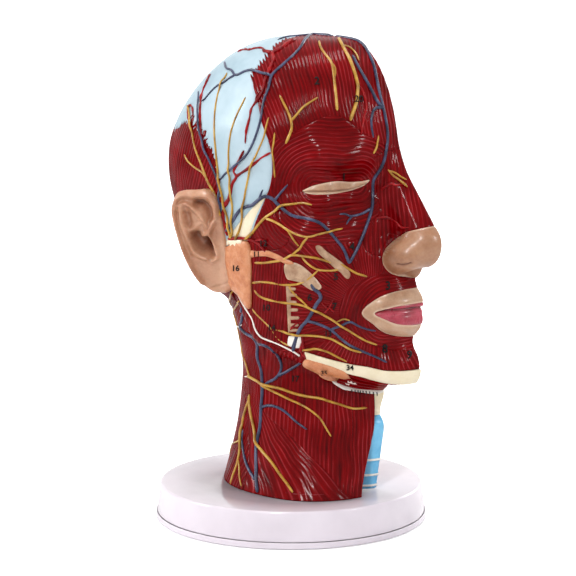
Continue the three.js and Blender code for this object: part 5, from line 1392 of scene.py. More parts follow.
def lathe(name, profile, finish, body, replaces=()):
    profile = np.asarray(profile, float)
    turns, n = baseShape["turns"], len(profile)
    angle = np.linspace(0, 2 * math.pi, turns, endpoint=False)
    ring = np.stack([np.outer(np.cos(angle), profile[:, 0]), np.outer(np.sin(angle), profile[:, 0]),
                     np.tile(profile[:, 1], (turns, 1))], -1).reshape(-1, 3)
    i, j = np.meshgrid(np.arange(turns), np.arange(n), indexing="ij")
    a, b = (i * n + j).ravel(), (i * n + (j + 1) % n).ravel()
    c, d = (((i + 1) % turns) * n + j).ravel(), (((i + 1) % turns) * n + (j + 1) % n).ravel()
    faces = np.concatenate([np.stack([a, c, d], 1), np.stack([a, d, b], 1)])
    piece = newMesh(name, ring * mm, faces)
    return finished(piece, finish, body, replaces=replaces)


def arcPoints(centre, radius, start, end, steps=7):
    return [(centre[0] + radius * math.cos(t), centre[1] + radius * math.sin(t))
            for t in np.radians(np.linspace(start, end, steps))]


def trayProfile():
    foot, end, top, wall, curve = (
        baseShape[key] for key in ("trayFoot", "trayTop", "top", "wall", "round"))
    under = baseShape["plateTop"] + baseShape["seam"]
    return ([(foot - wall, under), (foot - .5, under)] + arcPoints((foot - .4, under + .4), .4, -90, 0, 4)
            + arcPoints((end - curve, top - curve), curve, 5, 90)
            + [(.02, top), (.02, top - wall), (end - wall - .6, top - wall)])


def bandProfile():
    inner, outer, top = baseShape["bandInner"], baseShape["radius"], baseShape["plateTop"]
    return ([(inner, .02)] + arcPoints((outer - .8, .82), .8, -90, 0, 5)
            + arcPoints((outer - .5, top - .5), .5, 0, 90, 5) + [(inner, top)])


lathe("base_tray_shell", trayProfile(), "base", "base", replaces=("base_tray",))
lathe("base_edge_band", bandProfile(), "base", "base")
print("base")


# Windpipe and voice box: half tubes open at the cut face
throatShape = dict(
    pipeBottom=24.3, pipeRoundFrom=67.0, pipeTop=74.5, pipeEndDrop=3.6, wall=2.4,
    ringHeights=(26.6, 34, 44.6), ringRadius=.8, ringRise=.5,
    boxBottom=74.0, boxTop=93.0, boxRadii=(9.2, 12.6), boxFlare=(77, 90), cut=.3, sheet=.6,
    sheetBack=32.6, ringReach=1.5, columns=61, ringSteps=48,
)


def halfTube(name, heights, middleOf, radiusOf, wall, finish, replaces):
    columns = throatShape["columns"]
    z, turn = (v.ravel() for v in np.meshgrid(heights, np.linspace(.02, math.pi - .02, columns),
                                              indexing="ij"))
    sheets = []
    for inward in (0, wall):
        radius = radiusOf(z) - inward
        sheets.append(np.stack([throatShape["cut"] + radius * np.sin(turn),
                                middleOf(z) + radius * np.cos(turn), z], 1))
    piece = newMesh(name, world(np.vstack(sheets)), shellFaces(gridFaces(len(heights), columns), len(z)))
    return finished(piece, finish, replaces=replaces)


def pipeRadius(z):
    t = throatShape
    swell = sum(bell(z - height, t["ringReach"]) for height in t["ringHeights"])
    closing = np.clip((z - t["pipeRoundFrom"]) / (t["pipeTop"] - t["pipeRoundFrom"]), 0, 1)
    return headForm["windpipe"]["radius"] - .4 + t["ringRise"] * swell - t["pipeEndDrop"] * closing ** 2


def boxRadius(z):
    (low, high), (small, large) = throatShape["boxFlare"], throatShape["boxRadii"]
    return small + (large - small) * easedShare((z - low) / (high - low))


halfTube("windpipe_tube", np.linspace(throatShape["pipeBottom"], throatShape["pipeTop"], 80), pipeMiddle,
         pipeRadius, throatShape["wall"], "cartilage", ("windpipe",))
halfTube("voice_box_shell", np.linspace(throatShape["boxBottom"], throatShape["boxTop"], 60), pipeMiddle,
         boxRadius, throatShape["wall"], "bone", ("voice_box",))
ringLines = []
for height in throatShape["ringHeights"]:
    turn = np.linspace(.03, math.pi - .03, throatShape["ringSteps"])
    radius = pipeRadius(height) - .12
    line = np.stack([throatShape["cut"] + radius * np.sin(turn), pipeMiddle(height) + radius * np.cos(turn),
                     height + 0 * turn], 1)
    ringLines.append((world(line), np.ones(len(turn))))
sweptPiece("windpipe_rings", ringLines, throatShape["ringRadius"], "nearWhite", 8)


def throatWall():
    # the sheet from the opening's border back past the windpipe
    heights = np.linspace(throatShape["pipeBottom"], throatRoom["top"], 90)
    half, pipe = roomHalf(heights), headForm["windpipe"]
    starts = np.stack([half, 0 * heights, heights], 1)
    skin = hitsAlong(starts, np.tile([0.0, 1.0, 0.0], (len(heights), 1)))
    inner = np.minimum(half, throatRoom["wall"])
    seat = pipeMiddle(heights) + np.sqrt(np.maximum(pipe["radius"] ** 2 - inner ** 2, 0))
    side = 0 * half + throatRoom["wall"]
    corners = [(half, skin), (half, np.maximum(skin - 4, seat)), (inner, seat), (side, pipeMiddle(heights)),
               (side, 0 * half + throatShape["sheetBack"])]
    line = np.stack([np.stack([w, f, heights], 1) for w, f in corners], 1)
    columns = np.linspace(0, len(corners) - 1, 25)
    k = np.minimum(columns.astype(int), len(corners) - 2)
    part = (columns - k)[None, :, None]
    sheet = (line[:, k] * (1 - part) + line[:, k + 1] * part).reshape(-1, 3)
    faces = gridFaces(len(heights), len(columns))[:, ::-1]
    across = np.tile(columns * 3, len(heights))
    thick = np.vstack([sheet, sheet + [throatShape["sheet"], 0, 0]])
    piece = newMesh("throat_opening_wall", world(thick), shellFaces(faces, len(sheet)),
                    dict(across=np.tile(across, 2), along=thick[:, 2]))
    return finished(piece, "muscle")


def footPlate():
    # the plate across the neck's foot, open where the throat is
    inset, level, thick = 1.2, throatShape["pipeBottom"], 4.0
    points, faces = flatGrid((-.1, -62), (72, 76), 1.6)

    def outside(p):
        skin = formAt(p[:, 1], p[:, 2], np.full(len(p), level)) + inset
        room = np.maximum(p[:, 1] - roomHalf(level), throatRoom["back"] - p[:, 2])
        return np.maximum(np.maximum(skin, -room), -p[:, 1])

    points, faces = clipMesh(points, faces, outside(points))
    sheets = [np.stack([points[:, 1], points[:, 2], 0 * points[:, 1] + level + rise], 1)
              for rise in (thick, 0)]
    piece = newMesh("neck_foot_sheet", world(np.vstack(sheets)), shellFaces(faces, len(points)))
    return finished(piece, "muscleRim", replaces=("neck_foot_plate",))


throatWall()
footPlate()
print("throat")


# Section side: reliefs that stand on the recessed plate, as shares of 100 mm
sectionShape = dict(front=.6, back=5.9, relief=5.1, spacing=.62, gap=.35, edgeRound=1.3, reach=12)
roomLine = shareLine([
    (.64, 0), (.6, .2), (.55, .45), (.52, .62), (.57, .72), (.74, .765), (.84, .8), (.875, .87),
    (.865, .98), (.86, 1.06), (.895, 1.17), (.9, 1.25), (.9, 1.32), (.865, 1.4), (.88, 1.49), (.95, 1.55),
    (1.03, 1.61), (1.055, 1.68), (1.02, 1.76), (.92, 1.87), (.83, 1.99), (.755, 2.11), (.725, 2.21),
    (.71, 2.33), (.68, 2.45), (.635, 2.58), (.58, 2.7), (.505, 2.81), (.39, 2.885), (.2, 2.92), (.05, 2.92),
    (-.16, 2.905), (-.32, 2.87), (-.48, 2.805), (-.64, 2.7), (-.8, 2.55), (-.925, 2.37), (-.99, 2.2),
    (-.975, 1.97), (-.87, 1.73), (-.72, 1.49), (-.6, 1.26), (-.52, 1.1), (-.44, .85), (-.41, .65),
    (-.425, .45), (-.46, .2), (-.5, 0)])
# The relief carved into the pieces: depths, pitches and widths in millimetres; a wander is (reach, size)
carving = dict(
    foldDepth=3.4, foldWander=(5, 17), wideFold=(12.5, .2), thinFold=(8.0, .14), thinShare=.75,
    leafDepth=2.0, leafHub=(-31.0, 216.0), leafPitch=3.4, leafWander=(1.4, 9),
    turbinates=[([(86, 184), (74, 188), (58, 189), (36, 190)], 2.9, 3.9),
                ([(76, 200), (60, 203), (46, 204), (36, 205)], 2.7, 3.6),
                ([(66, 214), (54, 217), (44, 217)], 2.1, 2.7)],
    tongueRoot=(42, 112), tongueDepth=.55, tongueTurns=26,
)


def roomDistance(f, z, inset=.6):
    return outlineDistance(roomLine, f, z, sectionShape["reach"]) + inset


def noise2(f, z, size, seed=0.0):
    return noiseAt(np.stack([f, z, 0 * f + seed], -1), size)


def brainFolds(f, z, edge):
    reach, size = carving["foldWander"]
    bentF, bentZ = f + reach * noise2(f, z, size, 9), z + reach * noise2(f, z, size, 30)
    wide, thin = (bell(noise2(bentF, bentZ, fold[0], seed), fold[1])
                  for fold, seed in ((carving["wideFold"], 3), (carving["thinFold"], 60)))
    return carving["foldDepth"] * np.maximum(wide, carving["thinShare"] * thin)


def folia(f, z, edge):
    (hubF, hubZ), (reach, size) = carving["leafHub"], carving["leafWander"]
    far = np.hypot(f - hubF, z - hubZ) + reach * noise2(f, z, size, 5)
    leaf = np.abs(np.sin(math.pi * far / carving["leafPitch"]))
    return carving["leafDepth"] * (1 - leaf) ** 1.4


def stemSwell(f, z, edge):
    pons = np.exp(-(((f + 9) / 13) ** 2 + ((z - 222) / 13) ** 2))
    return (1.2 * (1 - pons)
            + .5 * np.abs(np.sin(z / 2.4)) * bell(f + 2, 7) * (np.abs(z - 222) < 14))


def turbinates(f, z, edge):
    rise = 0
    for line, tall, wide in carving["turbinates"]:
        rise = np.maximum(rise, tall * bell(lineDistance(line, f, z), wide, 4))
    return .4 * noise2(f, z, 6) - rise


def tongueFibres(f, z, edge):
    rootF, rootZ = carving["tongueRoot"]
    turn = np.arctan2(z - rootZ, f - rootF)
    fan = np.abs(np.sin(turn * carving["tongueTurns"] + noise2(f, z, 12) * 1.5))
    return carving["tongueDepth"] * (1 - fan) * np.clip(edge / 5, 0, 1) + .2 * noise2(f, z, 4)


def spongy(f, z, edge):
    return .3 * np.clip(edge / 1.5, 0, 1) * (1 + noise2(f, z, 1.9) + .5 * noise2(f, z, 1.1, 4))


def plain(f, z, edge):
    return .12 * noise2(f, z, 5)


sectionPieces = [
    ("corpus_callosum", "brainWhite", .15, plain, [
        (.3, 2.24), (.37, 2.34), (.34, 2.45), (.2, 2.51), (0, 2.53), (-.2, 2.51), (-.36, 2.43), (-.4, 2.34),
        (-.33, 2.33), (-.28, 2.4), (-.1, 2.44), (.1, 2.44), (.25, 2.4), (.28, 2.33)]),
    ("brain_stem", "brainWhite", .2, stemSwell, [
        (.2, 2.18), (.12, 2.3), (-.08, 2.35), (-.26, 2.3), (-.28, 2.2), (-.2, 2.1), (-.26, 2), (-.28, 1.9),
        (-.24, 1.78), (-.22, 1.6), (-.2, 1.52), (-.07, 1.52), (-.06, 1.64), (-.02, 1.78), (.03, 1.92),
        (.02, 2.04), (.12, 2.1)]),
    ("cerebellum", "brain", .12, folia, [
        (-.3, 1.9), (-.31, 2.06), (-.48, 2.13), (-.68, 2.07), (-.83, 1.94), (-.82, 1.83), (-.68, 1.75),
        (-.46, 1.71), (-.32, 1.74)]),
    ("cerebrum", "brain", .06, brainFolds, [
        (.59, 2.3), (.575, 2.46), (.46, 2.64), (.27, 2.77), (0, 2.82), (-.3, 2.77), (-.56, 2.63),
        (-.77, 2.42), (-.87, 2.2), (-.83, 2.02), (-.66, 2.12), (-.46, 2.18), (-.3, 2.16), (-.1, 2.12),
        (.1, 2.08), (.3, 2.06), (.5, 2.12)]),
    ("skull_section", "bone", 0, spongy, [
        (1.2, 3.2), (1.2, 2.16), (.8, 2.1), (.66, 2.1), (.42, 1.99), (.34, 1.82), (.12, 1.76), (.02, 1.56),
        (-.08, 1.58), (-.2, 1.62), (-.3, 1.56), (-.72, 1.64), (-1.3, 1.7), (-1.3, 3.2)]),
    ("nasal_wall", "mucosa", .6, turbinates, [
        (.95, 1.68), (.84, 1.92), (.74, 2.08), (.45, 1.98), (.32, 1.88), (.24, 1.74), (.25, 1.6),
        (.5, 1.57), (.86, 1.58)]),
    ("palate_and_upper_jaw", "bone", .18, spongy, [
        (.12, 1.4), (.2, 1.53), (.4, 1.545), (.7, 1.55), (.86, 1.54), (.9, 1.45), (.86, 1.34), (.81, 1.34),
        (.79, 1.43), (.7, 1.48), (.4, 1.48), (.26, 1.47), (.17, 1.36)]),
    ("tongue", "mucosa", .08, tongueFibres, [
        (.76, 1.28), (.68, 1.4), (.5, 1.46), (.32, 1.44), (.2, 1.32), (.16, 1.12), (.24, .95), (.46, .87),
        (.64, .94), (.68, 1.08), (.74, 1.18)]),
    ("lower_jaw_section", "bone", .04, spongy, [
        (.8, 1.31), (.84, 1.31), (.87, 1.16), (.89, 1), (.87, .84), (.78, .8), (.71, .88), (.73, 1.06),
        (.78, 1.16)]),
    ("spinal_cord", "brainWhite", .3, plain, [
        (-.09, 1.47), (-.19, 1.47), (-.23, 1.2), (-.25, .8), (-.25, .4), (-.25, .06), (-.17, .06),
        (-.17, .4), (-.16, .8), (-.14, 1.2)]),
]
braincase = shareLine([
    (.62, 2.31), (.6, 2.48), (.48, 2.67), (.28, 2.8), (0, 2.85), (-.3, 2.8), (-.58, 2.66), (-.8, 2.44),
    (-.9, 2.19), (-.86, 1.96), (-.71, 1.8), (-.45, 1.68), (-.2, 1.64), (-.05, 1.66), (.06, 1.82),
    (.16, 1.96), (.3, 2.02), (.46, 2.07), (.58, 2.18)])


def reliefPiece(name, finish, sunk, depthOf, value, low, high, attributes=None, replaces=(), spacing=None):
    # sunk is a share of the relief's depth; a piece stays at least .6 mm thick
    s = sectionShape
    points, faces = flatGrid(low, high, spacing or s["spacing"])
    points, faces = clipMesh(points, faces, value(points[:, 1], points[:, 2]))
    f, z = points[:, 1], points[:, 2]
    edge = np.clip(-value(f, z), 0, None)
    depth = depthOf(f, z, edge) + 1.3 * bell(edge, s["edgeRound"])
    front = np.clip(s["front"] + sunk * s["relief"] + depth, .35, s["back"] - .6)
    sheets = np.vstack([np.stack([front, f, z], 1), np.stack([s["back"] + 0 * f, f, z], 1)])
    extra = {key: np.tile(get(f, z), 2) for key, get in (attributes or {}).items()}
    # painted shade: darker where the relief is carved deeper
    extra["hollowShade"] = np.tile(np.clip(depthOf(f, z, edge) / 2.2, 0, 1), 2)
    piece = newMesh(name, world(sheets), shellFaces(faces[:, ::-1], len(points)), extra)
    return finished(piece, finish, replaces=replaces)


takenLines = []
for name, finish, sunk, depthOf, outline in sectionPieces:
    line = shareLine(outline) if name == "skull_section" else roundLine(shareLine(outline))
    before = list(takenLines)

    def value(f, z, line=line, before=before, name=name):
        reach = sectionShape["reach"]
        out = np.maximum(outlineDistance(line, f, z, reach), roomDistance(f, z))
        for other in before:
            out = np.maximum(out, sectionShape["gap"] - outlineDistance(other, f, z, reach))
        if name == "skull_section":
            out = np.maximum(out, -outlineDistance(braincase, f, z, reach))
        return out

    low = np.maximum(line.min(0) - 1, roomLine.min(0) - 1)
    high = np.minimum(line.max(0) + 1, roomLine.max(0) + 1)
    reliefPiece(name + "_relief", finish, sunk, depthOf, value, low, high, replaces=(name,))
    takenLines.append(line)

# Neck bones: rounded bodies with discs between, and their spines behind the cord
neckShape = dict(count=7, bottom=30.0, top=174.0, bodyHalf=(8.5, 8.535), discHalf=(6.6, 2.6),
                 discRise=10.29, lean=3.0, spineFront=-30.0, spineLength=20.0, spineDrop=9.0)


def boneBox(f, z, middle, half, corner):
    x, y = np.abs(f - middle[0]) - half[0] + corner, np.abs(z - middle[1]) - half[1] + corner
    return np.hypot(np.maximum(x, 0), np.maximum(y, 0)) + np.minimum(np.maximum(x, y), 0) - corner


def boneMiddles():
    n = neckShape
    pitch = (n["top"] - n["bottom"]) / n["count"]
    return [(n["lean"] * math.sin(i / n["count"] * math.pi),
             n["bottom"] + pitch * (i + .5)) for i in range(n["count"])]


def bodies(f, z):
    return np.minimum.reduce([boneBox(f, z, m, neckShape["bodyHalf"], 2.2) for m in boneMiddles()])


def discs(f, z):
    middles = [(m[0], m[1] + neckShape["discRise"]) for m in boneMiddles()[:-1]]
    return np.minimum.reduce([boneBox(f, z, m, neckShape["discHalf"], 1.5) for m in middles])


def column(f, z):
    return np.maximum(np.minimum(bodies(f, z), discs(f, z)), roomDistance(f, z))


def columnDepth(f, z, edge):
    return np.where(bodies(f, z) < .4, .2 * spongy(f, z, edge), 1.4)


def spines(f, z):
    n = neckShape
    far = np.full(f.shape, 1e3)
    for _, height in boneMiddles():
        end = (n["spineFront"] - n["spineLength"] + 1.5, height - n["spineDrop"] + 1.2)
        far = np.minimum(far, segmentDistance(f, z, (n["spineFront"] - .5, height), end) - 3.1)
    ligament = boneBox(f, z, (n["spineFront"], 102), (1.5, 66), 1.2)
    return np.maximum(np.minimum(far, ligament), roomDistance(f, z))


reliefPiece("neck_bones_relief", "bone", .1, columnDepth, column, (-12, 28), (14, 176),
            replaces=("neck_bones",))
reliefPiece("neck_bone_spines_relief", "bone", .02, plain, spines, (-54, 28), (-26, 178),
            replaces=("neck_bone_spines",))


# The rim round the plate, behind the cut edges of the skin pieces
def rim(f, z):
    room = np.minimum(f - throatRoom["back"] + .3, throatRoom["top"] + .3 - z)
    return np.maximum(np.maximum(formAt(0 * f, f, z) + 2.6, room), -roomDistance(f, z, 0))


reliefPiece("cut_rim", "fat", -.05, plain, rim, (-104, 24.3), (108, 320), spacing=1.5)


# The muscle round the neck bones and the lining of throat and face fill the plate's floor, clear of the
# windpipe's room
def ground(f, z):
    return np.maximum(roomDistance(f, z, .45), np.minimum(np.minimum(f - 30.5, 98.5 - z), 50))


def neckGround(f, z):
    return np.maximum(ground(f, z), np.maximum(z - 172, f - 9 - .12 * (z - 30)))


def faceGround(f, z):
    return np.maximum(ground(f, z), np.minimum(172.3 - z, 9.3 + .12 * (z - 30) - f))


def groundDepth(f, z, edge):
    return .35 * (1 - np.abs(np.cos(math.pi * (f + .12 * z) / 2.2))) + .3 * noise2(f, z, 8)


reliefPiece("neck_section_muscle", "muscle", .76, groundDepth, neckGround, (-99, 24), (40, 180),
            dict(across=lambda f, z: f + .12 * z, along=lambda f, z: z), spacing=.8)
reliefPiece("throat_and_face_lining", "mucosa", .8, plain, faceGround, (-20, 24), (106, 320), spacing=.9)

# The white tree of the cerebellum
treeLines = []
for end in ((-76, 212), (-78, 220), (-72, 228), (-60, 234), (-46, 236), (-66, 203), (-52, 198), (-40, 201)):
    steps, hub = np.linspace(0, 1, 24)[:, None], np.array(carving["leafHub"])
    line = hub * (1 - steps) + np.array(end) * steps * .96 + hub * steps * .04
    line = line + np.sin(steps * 3.1) * np.array([[0, 1.6]]) * (1 if end[1] > 214 else -1)
    spot = np.stack([1.62 + 0 * line[:, 0], line[:, 0], line[:, 1]], 1)
    treeLines.append((world(spot), np.linspace(1.1, .45, len(steps))))
sweptPiece("cerebellum_white_tree", treeLines, .9, "brainWhite", 8)
print("section side")


# Small painted and raised details, drawn in the picture and laid onto the skin
sheetShape = dict(under=-.2, step=.42, steep=1.2, edgeDrop=.3, edgeWidth=.35)


def pictureSheet(name, outline, finish, rise, pillow=0.0, straight=True, ground=None):
    shape = sheetShape
    line = np.asarray(outline, float) if straight else roundLine(outline)
    low, high = line.min(0) - 1, line.max(0) + 1
    wide = [np.linspace(low[k], high[k], max(3, int((high[k] - low[k]) / 3) + 2)) for k in (0, 1)]
    gridX, gridY = np.meshgrid(wide[0], wide[1], indexing="ij")
    hits = sightHits(np.stack([gridX.ravel(), gridY.ravel()], 1)).reshape(len(wide[0]), len(wide[1]), 3)
    points, faces = flatGrid(low, high, shape["step"])
    points, faces = clipMesh(points, faces, outlineDistance(line, points[:, 1], points[:, 2]))
    x, y = points[:, 1], points[:, 2]
    edge = np.clip(-outlineDistance(line, x, y), 0, None) * pictureScale
    i = np.clip(np.searchsorted(wide[0], x) - 1, 0, len(wide[0]) - 2)
    j = np.clip(np.searchsorted(wide[1], y) - 1, 0, len(wide[1]) - 2)
    s = ((x - wide[0][i]) / (wide[0][i + 1] - wide[0][i]))[:, None]
    t = ((y - wide[1][j]) / (wide[1][j + 1] - wide[1][j]))[:, None]
    near = (hits[i, j] * (1 - s) * (1 - t) + hits[i + 1, j] * s * (1 - t) + hits[i, j + 1] * (1 - s) * t
            + hits[i + 1, j + 1] * s * t)
    seat, normal = ground(np.stack([x, y], 1)) if ground else settle(near)
    normal = unit(normal)
    height = (rise + pillow * (1 - np.exp(-edge / shape["steep"]))
              - shape["edgeDrop"] * bell(edge, shape["edgeWidth"]))
    sheets = np.vstack([seat + normal * height[:, None], seat + normal * shape["under"]])
    # seen in the picture, x runs right and y runs down
    piece = newMesh(name, world(sheets), shellFaces(faces[:, ::-1], len(points)))
    return finished(piece, finish)


def sightDepths(spots):
    # how deep lines of sight go until they meet a finished piece, in millimetres
    graph = bpy.context.evaluated_depsgraph_get()
    start = Vector(viewEye * mm)
    hits = [scene.ray_cast(graph, start, Vector(way)) for way in sightWay(spots)]
    return np.array([-(np.array(hit[1]) / mm - viewEye) @ viewBack if hit[0] else np.nan for hit in hits])


def seenSurface(spots):
    seat = localOf(viewEye + sightWay(spots) * sightDepths(spots)[:, None])
    return seat, np.tile(viewBack * [-1, -1, 1], (len(seat), 1))


def combOutline(left, right, teeth, gap):
    # a spine with teeth to its right, each (height, reach)
    points = [(left[0], teeth[0][0] - 3), (right, teeth[0][0] - 3)]
    for height, reach in teeth:
        points += [(right, height - gap), (reach - 1, height - gap * .8), (reach, height),
                   (reach - 1, height + gap * .8), (right, height + gap)]
    points += [(right, teeth[-1][0] + 4), (left[1], teeth[-1][0] + 4)]
    return points


lift = panelShape["lift"]
pictureSheet("parotid_duct", [
    (250, 251.2), (258, 251), (266, 250.6), (272, 252), (279, 255), (286, 259), (292, 261.5), (294, 264),
    (288, 264.6), (281, 261.8), (274, 258.8), (267, 256.8), (258, 257), (250, 257.2)
], "gland", lift + .5, .9, straight=False)
pictureSheet("upper_lip_levator", [
    (315.6, 246.5), (318.5, 245.4), (322, 247.2), (328.5, 253), (338.5, 260.2), (346.5, 267.4),
    (350.4, 275.6), (348, 279.4), (344, 277), (341, 273.4), (334.5, 268.6), (325, 259.6),
    (318, 252.6)], "fat", lift + .35, .8, straight=False)
teeth = [
    (289.3, 296.4), (295.4, 297.4), (302.6, 297.2), (310.2, 298.4), (318.2, 299.6), (325.4, 299),
    (330.6, 300)]
pictureSheet("cheek_serrated_band", combOutline((286, 288.6), 291, teeth, 1.75), "fat", lift + .4, .5)
pictureSheet("lower_fat_window", [
    (289, 336.4), (296, 335.2), (302.4, 336), (301.8, 342), (300, 348.4), (294, 348.2), (287.4, 345.6),
    (288, 340)], "nearWhite", lift + .3, .4)
pictureSheet("chin_fringe", [
    (331.5, 381.2), (335, 381.2), (339.3, 382.6), (343, 384.8), (346.4, 386.4), (351, 387.4), (356.4, 388),
    (368, 389.2), (378, 390.2), (382.8, 388.6), (382.6, 392.4), (378, 394.2), (370.7, 393.9), (362, 392.9),
    (350.7, 391.4), (343.6, 390.2), (337, 386.6), (333, 383.4)], "nearWhite", lift + .8, .4)
pictureSheet("temple_bone_streaks", [
    (228.6, 240.4), (234, 240.2), (243, 239.8), (243.4, 245), (241.6, 243.6), (240.8, 247), (238.8, 243.4),
    (236.6, 247.6), (235, 243.8), (232.6, 246.8), (231, 243), (229, 245.4)], "bone", lift + 1.75, .2)


floorShape = dict(columns=90, rows=28, fall=11.0, bulge=.6, thick=1.2)


def jawFloor():
    # the muscle floor between the jaw's border and the fringe
    borders = []
    for pixels in (
            [(344, 372.5), (353.5, 373.5), (363.5, 377.2), (374.7, 379.5), (381.3, 381.8), (390, 382.7)],
            [(336, 384), (344, 387), (352, 389), (362, 390.4), (372, 391), (382, 391)]):
        skin = softened(sightHits(roundLine(pixels, 8, closed=False)))
        far = np.concatenate([[0], np.cumsum(np.linalg.norm(np.diff(skin, axis=0), axis=1))])
        at = np.linspace(0, far[-1], floorShape["columns"])
        borders.append(np.stack([np.interp(at, far, skin[:, k]) for k in range(3)], 1))
    part = np.linspace(0, 1, floorShape["rows"])[None, :, None]
    grid = borders[0][:, None] * (1 - part) + borders[1][:, None] * part
    outward = unit(np.cross(np.gradient(grid, axis=1), np.gradient(grid, axis=0)))
    outward = outward * np.where(outward[..., :1] > 0, 1, -1)
    across = part[..., 0] * floorShape["fall"] + 0 * grid[..., 0]
    ridge = np.abs(np.cos(math.pi * across / muscle["ridge"])) ** panelShape["sharp"]
    grid = grid + outward * (floorShape["bulge"] * np.sin(math.pi * part)
                             + muscle["groove"] * ridge[..., None])
    sheets = np.vstack([grid.reshape(-1, 3), (grid - outward * floorShape["thick"]).reshape(-1, 3)])
    count, faces, points = across.size, gridFaces(*grid.shape[:2]), world(sheets)
    side = np.cross(points[faces[0, 1]] - points[faces[0, 0]], points[faces[0, 2]] - points[faces[0, 0]])
    if side @ (points[0] - points[count]) < 0:
        faces = faces[:, ::-1]
    values = [np.tile(v.ravel(), 2) for v in (across, grid[..., 1])]
    piece = newMesh("jaw_floor_muscle", points, shellFaces(faces, count),
                    dict(across=values[0], along=values[1]))
    return finished(piece, "muscle")


jawFloor()
pictureSheet("chin_fringe_wing", [
    (343.6, 383.2), (345.6, 381.4), (346.8, 383.4), (348, 378.6), (349.4, 382.2), (352, 379.2),
    (353, 383.2), (356.6, 381.8), (356.4, 384), (360.6, 385.4), (355, 385.6), (351, 384.9), (349, 386.2),
    (346, 385.4)], "nearWhite", .5, .3, ground=seenSurface)
# Painted lines: finish, radius, how far they rise and their runs
lineRoutes = [
    ("jaw_line", "nearWhite", .62, .25, [
        (1, 1, [
            (236, 289), (239.5, 296), (243.3, 303.5), (247, 310), (251, 316), (253.5, 321), (255, 327),
            (257.2, 332), (261.5, 337.2), (268, 340.2), (275, 342.6), (282, 345.8), (288.3, 349),
            (295, 352.6), (300, 356)])]),
    ("neck_white_lines", "nearWhite", .5, .25, [
        (1, .8, [(231, 318), (235, 325), (239.5, 327), (242.5, 325)]),
        (.8, .6, [(246, 377), (250, 377.4), (254, 380)])]),
    ("jaw_red_line", "artery", .95, .5, [
        (1, .8, [(302.6, 336.6), (303, 342), (303.6, 347), (304.6, 352), (306, 358)])]),
    ("cheek_red_lines", "artery", .62, .5, [
        (1, .6, [(325, 313), (330, 307), (333, 300)]), (1, .6, [(328, 309), (324, 305), (322, 303)]),
        (.9, .6, [(334, 312), (330, 308)])]),
    ("fringe_ticks", "ink", .4, 1.35, [
        (1, .6, [(x + side, top + (x - 350) * .1) for side, top in ((0, 390), (.3, 391.6), (.2, 393.4))])
        for x in np.arange(350.5, 379, 3.2)]),
    ("window_vein", "vein", .6, .5, [(1, .8, [(296.4, 336), (294.8, 341), (292.4, 347.6)])]),
]
for name, finish, radius, rise, routes in lineRoutes:
    lines = []
    for start, end, pixels in routes:
        skin, at = evenLine(softened(sightHits(roundLine(pixels, 8, closed=False))), 1.0)
        seat, normal = settle(skin)
        line = world(seat + unit(normal) * (lift + rise))
        lines.append((line, np.interp(at, [0, at[-1]], [start, end])))
    sweptPiece(name, lines, radius, finish, 8)


# Key numbers in black ink, as generic plain figures
numberShape = dict(size=10.6, thick=.4, rise=.25, most=2.0, weight=.022, window=(4.5, 3.5))
keyNumbers = [
    ("2", 317, 81, 1), ("20", 359, 99, .85), ("1", 344, 177, .95), ("4", 352, 247, 1),
    ("3", 388, 286, 1.1), ("8", 385, 349, 1.1), ("9", 409.5, 355, 1.05), ("34", 350, 368, .7),
    ("35", 324, 373.4, .62), ("10", 266, 308, .8), ("11", 256.4, 254.4, .7), ("12", 263, 243.6, .8),
    ("5", 336, 277, .9), ("6", 309.6, 298, .9), ("7", 334.4, 306.6, .9), ("14", 271.4, 328, .75),
    ("13", 328, 334, .7), ("16", 235.4, 268.6, .75), ("17", 295, 379, .8)]


def curvedBasis(x, y):
    return np.stack([x * 0 + 1, x, y, x * x, x * y, y * y], 1)


numberPoints, numberFaces = [], []
for figure, x, y, scale in keyNumbers:
    text = bpy.data.curves.new("figure", "FONT")
    text.body = figure
    text.align_x, text.align_y = "CENTER", "CENTER"
    text.size = 1.0
    text.offset = numberShape["weight"]
    holder = bpy.data.objects.new("figure", text)
    scene.collection.objects.link(holder)
    flat = bpy.data.meshes.new_from_object(holder.evaluated_get(bpy.context.evaluated_depsgraph_get()))
    corners = np.array([v.co[:2] for v in flat.vertices])
    flat.calc_loop_triangles()
    faces = np.array([t.vertices for t in flat.loop_triangles])
    bpy.data.objects.remove(holder)
    wide, tall = numberShape["window"]
    gridX, gridY = (v.ravel()
                    for v in np.meshgrid(np.linspace(-wide, wide, 9), np.linspace(-tall, tall, 9)))
    depth = sightDepths(np.stack([x + gridX, y + gridY], 1))
    met = np.isfinite(depth)
    bend = np.linalg.lstsq(curvedBasis(gridX[met], gridY[met]), depth[met], rcond=None)[0]
    proud = np.clip((curvedBasis(gridX[met], gridY[met]) @ bend - depth[met]).max(), 0, numberShape["most"])
    spot = corners * numberShape["size"] * scale * [1, -1]
    seat = (curvedBasis(spot[:, 0], spot[:, 1]) @ bend - proud - numberShape["rise"])[:, None]
    way = sightWay(spot + [x, y])
    sheets = np.vstack([viewEye + way * seat, viewEye + way * (seat + numberShape["thick"])])
    a, b, c = (corners[faces[:, k]] for k in range(3))
    wound = (b - a)[:, 0] * (c - a)[:, 1] - (b - a)[:, 1] * (c - a)[:, 0]
    faces = faces[np.abs(wound) > 1e-7]
    faces = faces[:, ::-1] if wound.sum() < 0 else faces
    start = sum(len(p) for p in numberPoints)
    numberFaces.append(shellFaces(faces, len(corners)) + start)
    numberPoints.append(sheets * mm)
finished(newMesh("key_numbers", np.vstack(numberPoints), np.vstack(numberFaces)), "ink")
print("details")


# Floor, light and camera
stageShape = dict(rings=(.15, .4, 1.0, 3.0, 9.0), turns=96, drop=.0004, shadowZone=(.16, .7), nearGlow=.3)


